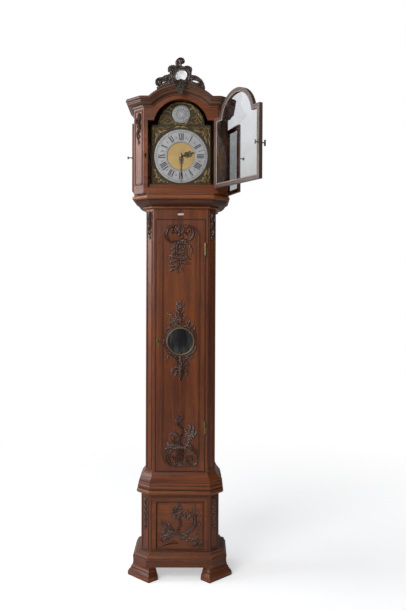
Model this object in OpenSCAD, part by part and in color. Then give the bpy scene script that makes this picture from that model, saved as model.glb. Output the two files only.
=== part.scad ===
// Tall longcase clock with canted corners, an arched hood and a carved waist door.
// X runs to the clock's right-hand side as seen from the front, Y to the back, Z up.
// The origin lies on the floor under the middle of the trunk.

/* [Trunk] */
// Width of the trunk
trunk_w = 334; // [310:1:360]
// Depth of the trunk from its front to the back of the case
trunk_d = 230; // [215:1:260]
// Width of the cut that makes each canted corner of the trunk, along X
trunk_cant = 37; // [30:1:44]
// Distance from the origin to the back of the case
back_y = 125; // [110:1:140]
// Thickness of the case boards
board = 18; // [15:0.5:20]
// Height at which the waist moulding starts
waist_z = 397; // [370:1:420]
// Height of the frieze between the trunk door and the throat moulding
frieze = 51; // [40:1:60]
// How far the trunk boards run down inside the plinth
lap = 60; // [30:1:90]

/* [Plinth and feet] */
// Width of the plinth
plinth_w = 372; // [366:1:390]
// Cut of the plinth's canted corners, along X
plinth_cant = 44; // [40:1:50]
// How far the plinth stands in front of the trunk
plinth_step = 19; // [19:0.5:26]
// Height of the feet
foot_h = 64; // [50:1:80]
// Thickness of a foot, from its carved face inwards
foot_t = 60; // [45:1:70]
// Length of a front foot along its carved face, at the floor
foot_w = 154; // [130:1:160]
// How much a foot flares from its top to its toe
foot_flare = 18; // [8:1:22]
// Height of the base moulding
base_h = 60; // [45:1:75]
// How far the base moulding stands out from the plinth
base_p = 39; // [30:1:46]
// Height of the waist moulding
waist_h = 106; // [90:1:120]
// How far the waist moulding stands out from the trunk
waist_p = 41; // [30:1:44]
// Half width of the sunk panel in the plinth
panel_half = 114; // [90:1:118]
// Height of the panel's lower edge above the base moulding
panel_low = 16; // [10:1:30]
// Height of the panel's upper edge below the waist moulding
panel_high = 31; // [20:1:45]

/* [Trunk door] */
// Width of the trunk door
door_w = 234; // [220:1:240]
// Gap between the waist moulding and the trunk door
door_rise = 2; // [1:0.5:20]
// Height of the trunk door
door_h = 1201; // [1150:1:1215]
// Thickness of the trunk door
door_t = 20; // [16:1:24]
// Height of the middle of the round window
lens_z = 1128; // [1100:1:1160]
// Radius of the glass seen in the round window
lens_r = 59; // [50:1:64]
// Width of the brass ring round the window
lens_ring = 9; // [7:1:12]
// Half width of the moulding that frames the door's field
field_half = 92; // [84:1:94]
// Corner radius of that moulding
field_r = 65; // [40:1:80]
// Distance of that moulding from the door's ends
field_end = 21; // [16:1:40]
// Width of that moulding
field_band = 10; // [6:1:14]
// Depth of the carvings
carve_t = 11; // [6:1:14]
// Radius of the door's hinge barrels
barrel_r = 5; // [4:0.5:6]
// Height of a hinge barrel's two halves together
barrel_h = 62; // [50:1:80]

/* [Hood] */
// Width of the hood
hood_w = 446; // [440:1:460]
// Depth of the hood from its front to the back of the case
hood_d = 284; // [276:1:300]
// Cut of the hood's canted corners, along X
hood_cant = 49; // [44:1:52]
// Height of the throat moulding
throat_h = 66.5; // [60:0.5:75]
// How far the throat moulding stands out from the trunk
throat_p = 65; // [62:1:68]
// Height of the hood's bottom rail
sill_h = 27.5; // [22:0.5:32]
// Space between the dial's arch and the hood's dust board
dial_room = 2; // [1:0.5:12]
// Half width of the opening in the mask
mask_half = 154.5; // [150:0.5:156]
// Height of the mask opening's shoulders above the square part of the dial
shoulder_up = 12; // [6:1:16]
// Radius of the mask opening's arch
mask_r = 128.7; // [124:0.1:130]
// Depth of the middle of that arch below the shoulders
arch_down = 29.7; // [26:0.1:34]
// Height of the cornice
cornice_h = 44; // [38:1:48]
// How far the cornice stands out from the hood
cornice_p = 38; // [34:1:42]
// Rise of the cornice's arch above its straight runs
arch_rise = 58; // [50:1:64]
// Half width of the cornice's arch where it leaves the straight runs
arch_half = 148; // [142:1:154]
// Height of the carved crest above the cornice's arch
crest_h = 120; // [110:1:130]
// Radius of the mirror in the crest
mirror_r = 29; // [24:1:31]

/* [Hood doors] */
// Angle at which the front door of the hood stands open
front_open = 122; // [90:1:150]
// Width of the rails and stiles of the hood doors
rail = 19.5; // [17:0.5:22]
// Thickness of the hood's front door
front_t = 18; // [14:1:22]
// Radius of the front door's arch
front_r = 133; // [131:1:138]
// Angle at which the right side door stands ajar
side_open = 19; // [0:1:60]
// Width of a side door
side_w = 155; // [145:1:160]
// Height of a side door above the front opening's shoulders
side_up = 7; // [3:1:12]
// Thickness of a side door
side_t = 13; // [11:1:16]
// Thickness of the glass panes
glass_t = 2.5; // [2:0.5:3]

/* [Dial and hands] */
// Width of the dial plate
dial_w = 280; // [270:1:290]
// Height of the dial plate's square part
dial_h = 281; // [275:1:285]
// Radius of the dial plate's arch
dial_r = 110; // [104:1:112]
// Height of the dial plate's foot above the hood's bottom rail
dial_low = 20; // [16:1:24]
// Height of the hands' arbor above the foot of the dial plate
dial_mid = 134; // [131:1:137]
// Outer radius of the chapter ring
chapter_r = 126; // [120:1:128]
// Inner radius of the chapter ring
chapter_in = 66; // [62:1:80]
// Radius of the boss in the arch
boss_r = 41.5; // [38:0.5:46]
// Height of the boss above the square part of the dial
boss_z = 51; // [48:1:55]
// Length of the minute hand
minute_len = 122; // [110:1:124]
// Length of the hour hand
hour_len = 66; // [58:1:68]

/* [Movement] */
// Distance between the movement's plates
plate_gap = 68.5; // [66:0.5:72]
// Thickness of a movement plate
plate_t = 3.5; // [3:0.5:4.5]
// Half width of the plates
plate_half = 86; // [84:1:92]
// Height of the plates
plate_h = 244; // [244:1:252]
// Thickness of the seatboard
seat_t = 20; // [16:1:24]
// Length of the pendulum from its bending line to the middle of the bob
pendulum_len = 982; // [960:1:1000]
// Radius of the pendulum bob
bob_r = 70; // [60:1:76]
// Thickness of the pendulum bob
bob_t = 28; // [22:1:28]
// Radius of the driving weight
weight_r = 25; // [20:1:25]
// Length of the driving weight
weight_h = 230; // [180:1:260]
// Drop from the seatboard to the pulley of the driving weight
weight_drop = 290; // [240:1:400]
// Drop from the seatboard to the slack loop of the chain
loop_drop = 940; // [900:1:980]
// Radius of the bell
bell_r = 34; // [28:1:36]

/* [Hidden] */
$fn = 96;

WOOD = "#7a4a2c";
DARK = "#3a2018";
BRASS = "#9a8a50";
SILVER = "#b8b8bc";
STEEL = "#55555a";

// Clearance between glued or seated pieces that would touch on a curved face
gap = 0.3;
// Joint line between boards of one frame
seam = 0.1;
// Radial clearance of an arbor or pin in its hole
run = 0.08;
mitre = tan(22.5);

trunk_half = trunk_w / 2;
trunk_y = back_y - trunk_d;
plinth_half = plinth_w / 2;
plinth_y = trunk_y - plinth_step;
hood_half = hood_w / 2;
hood_y = back_y - hood_d;
door_z = waist_z + waist_h + door_rise;
base_top = foot_h + base_h;
door_top = door_z + door_h;
throat_z = door_top + frieze;
hood_z = throat_z + throat_h;
sill_top = hood_z + sill_h;
mask_shoulder = dial_low + dial_h + shoulder_up;
frame_top = sill_top + dial_low + dial_h + dial_r + dial_room;

// Corner points, in plan, of a case part with canted front corners, offset outwards by p
function plan(h, c, f, p) = [
    [-(h + p), back_y], [-(h + p), f + c - p * mitre], [-(h - c + p * mitre), f - p],
    [h - c + p * mitre, f - p], [h + p, f + c - p * mitre], [h + p, back_y]];

// Directions in which those corner points move when the outline grows
MITRES = [[-1, 0, 0], [-1, -mitre, 0], [-mitre, -1, 0], [mitre, -1, 0], [1, -mitre, 0], [1, 0, 0]];

// One board of such a case part: side 0 and 4 are the sides, 1 and 3 the cants, 2 the front
module case_board(h, c, f, t, side, z0, z1) {
    outer = plan(h, c, f, 0);
    inner = plan(h, c, f, -t);
    a = outer[side];
    b = outer[side + 1];
    d = (b - a) / norm(b - a) * seam / 2;
    translate([0, 0, z0])
        linear_extrude(z1 - z0)
            polygon([a + d, b - d, inner[side + 1] - d, inner[side] + d]);
}

// A solid swept through stations [point, outward vector, upward vector], all mitred
module sweep(stations, profile) {
    n = len(profile);
    m = len(stations);
    pts = [for (s = stations) for (q = profile) s[0] + q[0] * s[1] + q[1] * s[2]];
    walls = [for (i = [0:m - 2]) for (j = [0:n - 1])
        let (k = (j + 1) % n) [i * n + j, i * n + k, (i + 1) * n + k, (i + 1) * n + j]];
    polyhedron(points = pts, convexity = 10, faces = concat(walls,
        [[for (j = [0:n - 1]) n - 1 - j]], [[for (j = [0:n - 1]) (m - 1) * n + j]]));
}

// Stations of a level moulding round a case part
function level(h, c, f, z) = [for (i = [0:5])
    let (q = plan(h, c, f, 0)[i]) [[q[0], q[1], z], MITRES[i], [0, 0, 1]]];

// Points of a round stretch of a profile, from angle a0 to a1 about (x, y)
function arc(x, y, r, a0, a1, n) = [for (i = [0:n])
    let (a = a0 + (a1 - a0) * i / n) [x + r * cos(a), y + r * sin(a)]];

// A flat shape drawn in X and Z, whose back lies at y and which is t thick towards the front
module facing(y, t) {
    translate([0, y, 0])
        rotate([90, 0, 0])
            linear_extrude(t)
                children();
}

// A rod along Y from y0 to y1
module rod_y(x, z, r, y0, y1) {
    translate([x, y1, z])
        rotate([90, 0, 0])
            cylinder(r = r, h = y1 - y0);
}

module rod_z(x, y, r, z0, z1) {
    translate([x, y, z0])
        cylinder(r = r, h = z1 - z0);
}

module box(a, b) {
    translate(a)
        cube(b - a);
}

// Flat ring between two radii, from angle a0 to a1
module arc_band(r0, r1, a0, a1) {
    n = max(1, ceil((a1 - a0) / 60));
    s = (a1 - a0) / n;
    big = r1 / cos(s / 2) + 1;
    intersection() {
        difference() {
            circle(r1);
            circle(r0);
        }
        polygon(concat([[0, 0]], [for (i = [0:n]) big * [cos(a0 + s * i), sin(a0 + s * i)]]));
    }
}

// A carved C-scroll: a band with a round eye at each end
module scroll(r, w, a0, a1, eye) {
    arc_band(r - w / 2, r + w / 2, a0, a1);
    for (a = [a0, a1])
        translate((r - eye + w / 2 + 0.9) * [cos(a), sin(a)])
            circle(eye);
}

// A carved leaf: the shape that two equal circles share
module leaf(l, w) {
    r = (l * l + w * w) / (4 * w);
    intersection() {
        translate([r - w / 2, 0])
            circle(r);
        translate([w / 2 - r, 0])
            circle(r);
    }
}

// Feet

// Inset of a foot's face at each height, as shares of the flare and of the foot's height
FOOT_CURVE = [[0.12, 0], [0, 0.08], [0, 0.2], [0.14, 0.36], [0.42, 0.52], [0.72, 0.68], [0.92, 0.84],
    [1, 1]];

// A bracket foot: w long, t deep, with its face towards -Y and its ends flared by end_share
module foot(w, t, left, right) {
    n = len(FOOT_CURVE);
    ring = [for (q = FOOT_CURVE) let (e = q[0] * foot_flare, z = q[1] * foot_h)
        [[-w / 2 + e * left, e, z], [w / 2 - e * right, e, z],
        [w / 2 - e * right, t, z], [-w / 2 + e * left, t, z]]];
    pts = [for (r = ring) for (p = r) p];
    walls = [for (i = [0:n - 2]) for (j = [0:3])
        let (k = (j + 1) % 4) [i * 4 + j, (i + 1) * 4 + j, (i + 1) * 4 + k, i * 4 + k]];
    polyhedron(points = pts, faces = concat(walls, [[0, 1, 2, 3]],
        [[for (j = [0:3]) (n - 1) * 4 + 3 - j]]));
}

// Middle of the front foot's toe line, which lies a little in front of the moulding's cant
toe_out = base_p + 8;
foot_mid = (plan(plinth_half, plinth_cant, plinth_y, toe_out)[3]
    + plan(plinth_half, plinth_cant, plinth_y, toe_out)[4]) / 2;
rear_foot_w = 90;

module bracket_feet() {
    color(WOOD)
        for (s = [0, 1])
            mirror([s, 0, 0]) {
                translate([foot_mid[0], foot_mid[1], 0])
                    rotate([0, 0, 45])
                        foot(foot_w, foot_t, 1, 1);
                translate([plinth_half + base_p, back_y - rear_foot_w / 2, 0])
                    rotate([0, 0, 90])
                        foot(rear_foot_w, foot_t, 1, 0);
            }
}

// Base, plinth and waist

BASE_SHAPE = [[0.94, 0], [0.96, 0.02], [0.96, 0.46], [0.99, 0.47], [1, 0.5], [1, 0.54], [0.98, 0.57],
    [0.86, 0.59], [0.84, 0.61], [0.83, 0.66], [0.78, 0.72], [0.7, 0.77], [0.6, 0.8], [0.5, 0.82],
    [0.42, 0.86], [0.36, 0.92], [0.3, 0.93], [0.28, 1]];
BASE_PROFILE = concat([[gap, 0]], [for (q = BASE_SHAPE) [q[0] * base_p, q[1] * base_h]],
    [[gap, base_h]]);

bottom_t = 12;

module base_moulding() {
    color(WOOD)
        sweep(level(plinth_half, plinth_cant, plinth_y, foot_h), BASE_PROFILE);
    // bottom board
    inner = plan(plinth_half, plinth_cant, plinth_y, -board - gap);
    color(DARK)
        translate([0, 0, foot_h])
            linear_extrude(bottom_t)
                polygon([for (i = [0:5]) i == 0 || i == 5 ? [inner[i][0], back_y - board - gap]
                    : inner[i]]);
}

module plinth_sides() {
    color(WOOD)
        for (side = [0, 1, 3, 4])
            case_board(plinth_half, plinth_cant, plinth_y, board, side, foot_h, waist_z);
}

panel_z0 = base_top + panel_low;
panel_z1 = waist_z - panel_high;
// Depth of the frame's rebate that holds the panel
rebate = 6;

module plinth_frame() {
    color(WOOD)
        difference() {
            case_board(plinth_half, plinth_cant, plinth_y, board, 2, foot_h, waist_z);
            box([-panel_half, plinth_y - 1, panel_z0], [panel_half, back_y, panel_z1]);
            box([-panel_half - rebate, plinth_y + rebate, panel_z0 - rebate],
                [panel_half + rebate, back_y, panel_z1 + rebate]);
        }
}

panel_t = 10;

module plinth_panel() {
    color(WOOD)
        box([-panel_half - rebate + gap, plinth_y + rebate, panel_z0 - rebate + gap],
            [panel_half + rebate - gap, plinth_y + rebate + panel_t, panel_z1 + rebate - gap]);
}

module plinth_carving() {
    mid = (panel_z0 + panel_z1) / 2;
    color(WOOD)
        facing(plinth_y + rebate, carve_t)
            translate([0, mid])
                scale_free_carving();
}

// The asymmetric shell and scroll group in the plinth panel
module scale_free_carving() {
    s = panel_half / 114;
    translate([28, 18] * s)
        scroll(56 * s, 12 * s, -95, 55, 10 * s);
    translate([-32, -42] * s)
        scroll(46 * s, 12 * s, 20, 150, 9 * s);
    translate([-12, 62] * s)
        rotate(-35)
            leaf(90 * s, 24 * s);
    translate([-58, -8] * s)
        rotate(50)
            leaf(76 * s, 22 * s);
    translate([-42, -84] * s)
        rotate(80)
            leaf(96 * s, 22 * s);
    translate([64, -76] * s)
        rotate(55)
            leaf(84 * s, 24 * s);
    translate([6, -52] * s)
        rotate(100)
            leaf(90 * s, 20 * s);
}

WAIST_SHAPE = [[0.6, 0], [0.86, 0.01], [0.96, 0.04], [1, 0.1], [1, 0.16], [0.96, 0.215], [0.9, 0.24],
    [0.87, 0.3], [0.83, 0.4], [0.8, 0.42], [0.76, 0.46], [0.76, 0.5], [0.77, 0.54], [0.75, 0.58],
    [0.68, 0.61], [0.62, 0.63], [0.53, 0.68], [0.43, 0.74], [0.33, 0.79], [0.22, 0.86], [0.14, 0.92],
    [0.08, 0.97], [0.06, 1]];
WAIST_PROFILE = concat([[gap, 0]], [for (q = WAIST_SHAPE) [q[0] * waist_p, q[1] * waist_h]],
    [[gap, waist_h]]);

module waist_moulding() {
    color(WOOD)
        sweep(level(trunk_half, trunk_cant, trunk_y, waist_z), WAIST_PROFILE);
}

// Trunk

trunk_low = waist_z - lap;
seat_z = hood_z + 12.5;

module trunk_sides() {
    color(WOOD) {
        for (side = [0, 4])
            case_board(trunk_half, trunk_cant, trunk_y, board, side, trunk_low, seat_z);
        for (side = [1, 3])
            case_board(trunk_half, trunk_cant, trunk_y, board, side, trunk_low, hood_z);
    }
}

door_half = door_w / 2;
// Gap round the trunk door
door_gap = 1;
// How far the stop behind the door reaches in from the opening, and its depth
stop_w = 7;
stop_t = 7;

module trunk_frame() {
    half = door_half + door_gap;
    color(WOOD) {
        difference() {
            case_board(trunk_half, trunk_cant, trunk_y, board, 2, trunk_low, hood_z);
            box([-half, trunk_y - 1, door_z - door_gap], [half, trunk_y + 50, door_top + door_gap]);
        }
        // stops behind the door
        difference() {
            box([-half - 2, trunk_y + door_t + gap, door_z - 10],
                [half + 2, trunk_y + door_t + gap + stop_t, door_top + 10]);
            box([-half + stop_w, trunk_y, door_z - door_gap + stop_w],
                [half - stop_w, trunk_y + 50, door_top + door_gap - stop_w]);
        }
    }
}

// Width of the hood's bottom rail, which sits on the throat moulding
sill_t = 28.8;
back_in = back_y - board;
// Radius and height of the hole for the screw that holds the case to a wall
wall_hole_r = 3;
wall_hole_z = throat_z - 57;
back_top = frame_top - gap;

module backboard() {
    color(DARK)
        difference() {
            union() {
                box([-(plinth_half - board - gap), back_in, foot_h],
                    [plinth_half - board - gap, back_y, trunk_low - gap]);
                box([-(trunk_half - board - gap), back_in, trunk_low - 1],
                    [trunk_half - board - gap, back_y, back_top]);
                box([-(hood_half - sill_t - 2), back_in, seat_z + gap],
                    [hood_half - sill_t - 2, back_y, back_top]);
            }
            rod_y(0, wall_hole_z, wall_hole_r, back_in - 1, back_y + 1);
        }
}

THROAT_PROFILE = concat([[gap, 0], [0.1 * throat_p, 0]],
    arc(0.13 * throat_p, 0.1 * throat_h, 0.1 * throat_p, -60, 60, 4),
    arc(0.2 * throat_p, 0.78 * throat_h, 0.62 * throat_p, -90, -22, 7),
    [[0.84 * throat_p, 0.56 * throat_h]],
    arc(0.84 * throat_p, 0.75 * throat_h, 0.16 * throat_p, -80, 80, 6),
    [[0.86 * throat_p, 0.96 * throat_h], [0.86 * throat_p, throat_h], [gap, throat_h]]);

module throat_moulding() {
    color(WOOD)
        sweep(level(trunk_half, trunk_cant, trunk_y, throat_z), THROAT_PROFILE);
}

// Dial and movement

dial_z = sill_top + dial_low;
hands_z = dial_z + dial_mid;
dial_y = hood_y + 49;
dial_t = 2;
motion_gap = 22;
front_plate = dial_y + dial_t + motion_gap;
back_plate = front_plate + plate_t + plate_gap;
plates_z = seat_z + seat_t;

// Positions of the arbors, in X and Z
great_x = 30;
great_module = 1.8;
great_teeth = 56;
centre_leaves = 8;
great_dist = great_module * (great_teeth + centre_leaves) / 2;
great_z = hands_z - sqrt(great_dist * great_dist - great_x * great_x);
train_module = 1;
centre_teeth = 64;
third_teeth = 60;
leaves = 8;
centre_dist = train_module * (centre_teeth + leaves) / 2;
third_dist = train_module * (third_teeth + leaves) / 2;
third_x = -24;
third_z = hands_z + sqrt(centre_dist * centre_dist - third_x * third_x);
escape_z = third_z + sqrt(third_dist * third_dist - third_x * third_x);
escape_r = 20;
pivot_z = escape_z + 26;
hammer_x = 34;
hammer_z = pivot_z - 10;
motion_x = 17;
cannon_teeth = 12;
minute_teeth = 36;
motion_leaves = 10;
hour_teeth = 40;
motion_dist = train_module * (cannon_teeth + minute_teeth) / 2;
motion_z = hands_z - sqrt(motion_dist * motion_dist - motion_x * motion_x);
hour_module = motion_dist * 2 / (hour_teeth + motion_leaves);
arbor_r = 2.5;
cannon_r = 4;
pipe_r = 6;
stud_r = 2;

// Depths of the wheels behind the front plate's back
in_y = front_plate + plate_t;
great_y = in_y + 13;
centre_y = in_y + 23;
chain_y = in_y + 32.5;
third_y = in_y + 41;
strike_y = in_y + 53;
wheel_t = 2.5;
sprocket_r = 16;
chain_r = 1.6;
rod_y0 = back_plate + plate_t + 24.5;

// A spur wheel: n teeth of the given module, one tooth pointing at angle a
module gear(n, m, a) {
    tip = m * (n / 2 + 0.8);
    root = m * (n / 2 - 1.1);
    s = 360 / n;
    rotate(a)
        polygon([for (i = [0:n - 1]) for (q = [[-0.3, root], [-0.12, tip], [0.12, tip], [0.3, root]])
            q[1] * [cos((i + q[0]) * s), sin((i + q[0]) * s)]]);
}

// A wheel with crossings cut out between its hub and rim
module crossed(rim, hub, spokes) {
    difference() {
        children();
        difference() {
            circle(rim);
            circle(hub);
            for (i = [0:spokes - 1])
                rotate(i * 360 / spokes)
                    translate([0, -1.6])
                        square([rim + 1, 3.2]);
        }
    }
}

chain_holes = [-great_x - sprocket_r, -great_x + sprocket_r, great_x - sprocket_r,
    great_x + sprocket_r];
chain_hole_r = 6;

module seatboard() {
    color(DARK)
        difference() {
            box([-trunk_half, trunk_y + 10, seat_z], [trunk_half, rod_y0 - 10, plates_z]);
            for (x = chain_holes)
                rod_z(x, chain_y, chain_hole_r, seat_z - 1, plates_z + 1);
        }
}

pillar_x = plate_half - 12;
pillar_low = plates_z + 25;
pillar_high = plates_z + plate_h - 12;
pillar_r = 6;

module movement_frame() {
    color(BRASS) {
        for (y = [front_plate, back_plate])
            difference() {
                box([-plate_half, y, plates_z], [plate_half, y + plate_t, plates_z + plate_h]);
                for (q = [[great_x, great_z], [-great_x, great_z], [0, hands_z],
                    [third_x, third_z], [0, escape_z], [0, pivot_z], [hammer_x, hammer_z]])
                    rod_y(q[0], q[1], arbor_r + run, y - 1, y + plate_t + 1);
            }
        for (x = [-pillar_x, pillar_x])
            for (z = [pillar_low, pillar_high]) {
                rod_y(x, z, pillar_r, front_plate + plate_t, back_plate);
                rod_y(x, z, 4, dial_y + dial_t, front_plate);
            }
        rod_y(motion_x, motion_z, stud_r, dial_y + dial_t + 4, front_plate);
    }
}

module dial_plate() {
    color(BRASS)
        facing(dial_y + dial_t, dial_t)
            difference() {
                union() {
                    translate([-dial_w / 2, dial_z])
                        square([dial_w, dial_h]);
                    translate([0, dial_z + dial_h])
                        circle(dial_r);
                }
                translate([0, hands_z])
                    circle(pipe_r + 2);
            }
}

chapter_t = 1.5;

module chapter_ring() {
    color(SILVER)
        facing(dial_y, chapter_t)
            translate([0, hands_z])
                difference() {
                    circle(chapter_r);
                    circle(chapter_in);
                }
}

spandrel_t = 3;
spandrel_edge = 5;

module spandrels() {
    half = dial_w / 2 - spandrel_edge;
    z0 = dial_z + spandrel_edge;
    z1 = dial_z + dial_h - spandrel_edge;
    color(BRASS)
        facing(dial_y, spandrel_t) {
            for (s = [-1, 1])
                for (q = [[z0, 1], [z1, -1]])
                    difference() {
                        polygon([[s * half, q[0]], [s * (half - 78), q[0]],
                            [s * half, q[0] + q[1] * 78]]);
                        translate([0, hands_z])
                            circle(chapter_r + 2);
                    }
            for (s = [0, 1])
                mirror([s, 0])
                    difference() {
                        intersection() {
                            translate([0, dial_z + dial_h])
                                circle(dial_r - spandrel_edge);
                            translate([12, dial_z + dial_h + 8])
                                square([dial_r, dial_r]);
                        }
                        translate([0, dial_z + dial_h + boss_z])
                            circle(boss_r + 2);
                        translate([0, hands_z])
                            circle(chapter_r + 2);
                    }
        }
}

module arch_boss() {
    color(SILVER)
        translate([0, dial_y, dial_z + dial_h + boss_z])
            rotate([90, 0, 0]) {
                cylinder(r = boss_r, h = 2);
                cylinder(r = boss_r - 4, h = 3.5);
            }
}

bell_x = -30;
bell_z = plates_z + plate_h + 17;
bell_wall = 2.5;

module bell() {
    color(BRASS)
        translate([bell_x, chain_y, bell_z])
            rotate_extrude()
                intersection() {
                    difference() {
                        circle(bell_r);
                        circle(bell_r - bell_wall);
                    }
                    square(bell_r);
                }
    top = bell_z + bell_r;
    color(STEEL) {
        rod_z(bell_x, chain_y, 3, top - 10, top + 4);
        back = back_plate + plate_t;
        box([bell_x - 4, chain_y - 4, top + 2], [bell_x + 4, back + 4, top + 8]);
        box([bell_x - 4, back, plates_z + plate_h - 16], [bell_x + 4, back + 4, top + 8]);
    }
}

pin_r = 2;
cock_y0 = rod_y0 - 7;
cock_y1 = rod_y0 + 7;
eye_half = 3.6;

module suspension_cock() {
    back = back_plate + plate_t;
    color(BRASS) {
        box([-12, back, pivot_z + 8], [12, cock_y1, pivot_z + 16]);
        for (y = [[cock_y0, rod_y0 - eye_half - gap], [rod_y0 + eye_half + gap, cock_y1]])
            box([-5, y[0], pivot_z - 6], [5, y[1], pivot_z + 9]);
        rod_y(0, pivot_z, pin_r, cock_y0, cock_y1);
    }
}

// Time shown at rest, as turns clockwise from twelve
minute_turn = 180;
hour_turn = 75;
hour_hand_y = dial_y - 3.5;
minute_hand_y = dial_y - 6.5;
hand_t = 1.4;

module minute_hand() {
    color(STEEL)
        translate([0, 0, hands_z])
            rotate([0, minute_turn, 0]) {
                facing(minute_hand_y, hand_t) {
                    difference() {
                        union() {
                            circle(7);
                            polygon([[-3, 0], [-2, minute_len * 0.8], [0, minute_len],
                                [2, minute_len * 0.8], [3, 0]]);
                            translate([0, -16])
                                leaf(26, 7);
                        }
                        circle(arbor_r + run);
                    }
                    translate([0, minute_len * 0.55])
                        difference() {
                            circle(6);
                            circle(3.6);
                        }
                }
                rod_y(0, 0, 5, minute_hand_y - hand_t - 3, minute_hand_y - hand_t);
            }
}

// A short shoulder keeps the minute hand clear of the hour hand's pipe
module centre_wheel() {
    color(BRASS) {
        rod_y(0, hands_z, arbor_r, minute_hand_y - hand_t, back_plate + plate_t);
        rod_y(0, hands_z, cannon_r, minute_hand_y, front_plate - gap);
        facing(front_plate - 2, wheel_t + 0.5)
            translate([0, hands_z])
                gear(cannon_teeth, train_module, atan2(motion_z - hands_z, motion_x));
        facing(great_y + 3, 6)
            translate([0, hands_z])
                gear(centre_leaves, great_module,
                    atan2(great_z - hands_z, great_x) + 180 / centre_leaves);
        facing(centre_y, wheel_t)
            translate([0, hands_z])
                crossed(centre_dist - 9, 9, 4)
                    gear(centre_teeth, train_module, atan2(third_z - hands_z, third_x));
    }
}

module hour_hand() {
    color(STEEL)
        translate([0, 0, hands_z])
            rotate([0, hour_turn, 0])
                facing(hour_hand_y, hand_t)
                    difference() {
                        union() {
                            circle(pipe_r + 3);
                            polygon([[-3, 0], [-3, hour_len * 0.4], [-9, hour_len * 0.55],
                                [-3, hour_len * 0.75], [0, hour_len], [3, hour_len * 0.75],
                                [9, hour_len * 0.55], [3, hour_len * 0.4], [3, 0]]);
                        }
                        circle(pipe_r + run);
                        for (x = [-3.5, 3.5])
                            translate([x, hour_len * 0.56])
                                circle(2.2);
                    }
}

hour_wheel_y = dial_y + dial_t + 9;

module hour_wheel() {
    color(BRASS)
        difference() {
            union() {
                rod_y(0, hands_z, pipe_r, hour_hand_y - hand_t, hour_wheel_y);
                facing(hour_wheel_y, wheel_t)
                    translate([0, hands_z])
                        gear(hour_teeth, hour_module,
                            atan2(motion_z - hands_z, motion_x));
            }
            rod_y(0, hands_z, cannon_r + run, hour_hand_y - hand_t - 1, hour_wheel_y + 1);
        }
}

module minute_wheel() {
    to_hands = atan2(hands_z - motion_z, -motion_x);
    color(BRASS)
        difference() {
            union() {
                facing(front_plate - 2, wheel_t)
                    translate([motion_x, motion_z])
                        gear(minute_teeth, train_module, to_hands + 180 / minute_teeth);
                facing(front_plate - 2, front_plate - 2 - hour_wheel_y + wheel_t)
                    translate([motion_x, motion_z])
                        gear(motion_leaves, hour_module, to_hands + 180 / motion_leaves);
            }
            rod_y(motion_x, motion_z, stud_r + run, dial_y, front_plate);
        }
}

// Arbor, wheel and chain sprocket of a great wheel at x, with its wheel's back at y
module great_wheel(x, y, a) {
    translate([x, 0, great_z]) {
        rod_y(0, 0, arbor_r, front_plate, back_plate + plate_t);
        facing(y, wheel_t)
            crossed(great_teeth * great_module / 2 - 7, sprocket_r - 4, 6)
                gear(great_teeth, great_module, a);
        translate([0, chain_y, 0])
            rotate([90, 0, 0])
                rotate_extrude()
                    polygon([[0, -5], [sprocket_r + 4, -5], [sprocket_r + 4, -3.5],
                        [sprocket_r - 2, -2.2], [sprocket_r - 2, 2.2], [sprocket_r + 4, 3.5],
                        [sprocket_r + 4, 5], [0, 5]]);
    }
}

module going_great_wheel() {
    color(BRASS)
        great_wheel(great_x, great_y + wheel_t / 2, atan2(hands_z - great_z, -great_x));
}

module strike_great_wheel() {
    color(BRASS)
        great_wheel(-great_x, strike_y, 90);
}

module third_wheel() {
    color(BRASS)
        translate([third_x, 0, third_z]) {
            rod_y(0, 0, arbor_r, front_plate, back_plate + plate_t);
            facing(centre_y + 2, 6.5)
                gear(leaves, train_module,
                    atan2(hands_z - third_z, -third_x) + 180 / leaves);
            facing(third_y, wheel_t)
                crossed(third_dist - 9, 8, 4)
                    gear(third_teeth, train_module, atan2(escape_z - third_z, -third_x));
        }
}

escape_teeth = 30;

module escape_wheel() {
    s = 360 / escape_teeth;
    color(BRASS)
        translate([0, 0, escape_z]) {
            rod_y(0, 0, arbor_r, front_plate, back_plate + plate_t);
            facing(third_y + 2, 6.5)
                gear(leaves, train_module,
                    atan2(third_z - escape_z, third_x) + 180 / leaves);
            facing(strike_y, wheel_t)
                crossed(escape_r - 5.5, 6, 4)
                    polygon([for (i = [0:escape_teeth - 1])
                        for (q = [[-0.4, escape_r - 3.5], [0.2, escape_r], [0.3, escape_r],
                            [0.35, escape_r - 3.5]])
                            q[1] * [cos((i + q[0]) * s), sin((i + q[0]) * s)]]);
        }
}

crutch_y = back_plate + plate_t + 10.5;
crutch_len = 95;
rod_r = 3;

module anchor() {
    color(STEEL)
        translate([0, 0, pivot_z]) {
            rod_y(0, 0, arbor_r, front_plate, crutch_y + 3.5);
            facing(strike_y + 1, 4)
                for (s = [0, 1])
                    mirror([s, 0])
                        polygon([[0, 5], [18, -6], [18.5, -12], [16, -11], [14, -6.5], [0, -3.5]]);
            box([-2, crutch_y, -crutch_len], [2, crutch_y + 3.5, 0]);
            box([-rod_r - gap - 2, crutch_y, -crutch_len], [rod_r + gap + 2, crutch_y + 3.5,
                6 - crutch_len]);
            for (x = [-rod_r - gap - 2, rod_r + gap])
                box([x, crutch_y, -crutch_len], [x + 2, rod_y0 + 6, 6 - crutch_len]);
        }
}

// The hammer lies this far from the bell at rest
hammer_gap = 2;

module hammer() {
    hit_x = bell_x + bell_r + hammer_gap;
    hit_z = bell_z + 4;
    color(STEEL) {
        rod_y(hammer_x, hammer_z, arbor_r, front_plate, back_plate + plate_t);
        facing(chain_y + 2, 4)
            polygon([[hammer_x - 4, hammer_z], [hit_x + 6, hit_z], [hit_x + 11, hit_z],
                [hammer_x + 4, hammer_z]]);
        translate([hit_x, chain_y, hit_z])
            rotate([0, 90, 0])
                cylinder(r = 6, h = 16);
    }
}

bob_z = pivot_z - pendulum_len;

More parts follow.
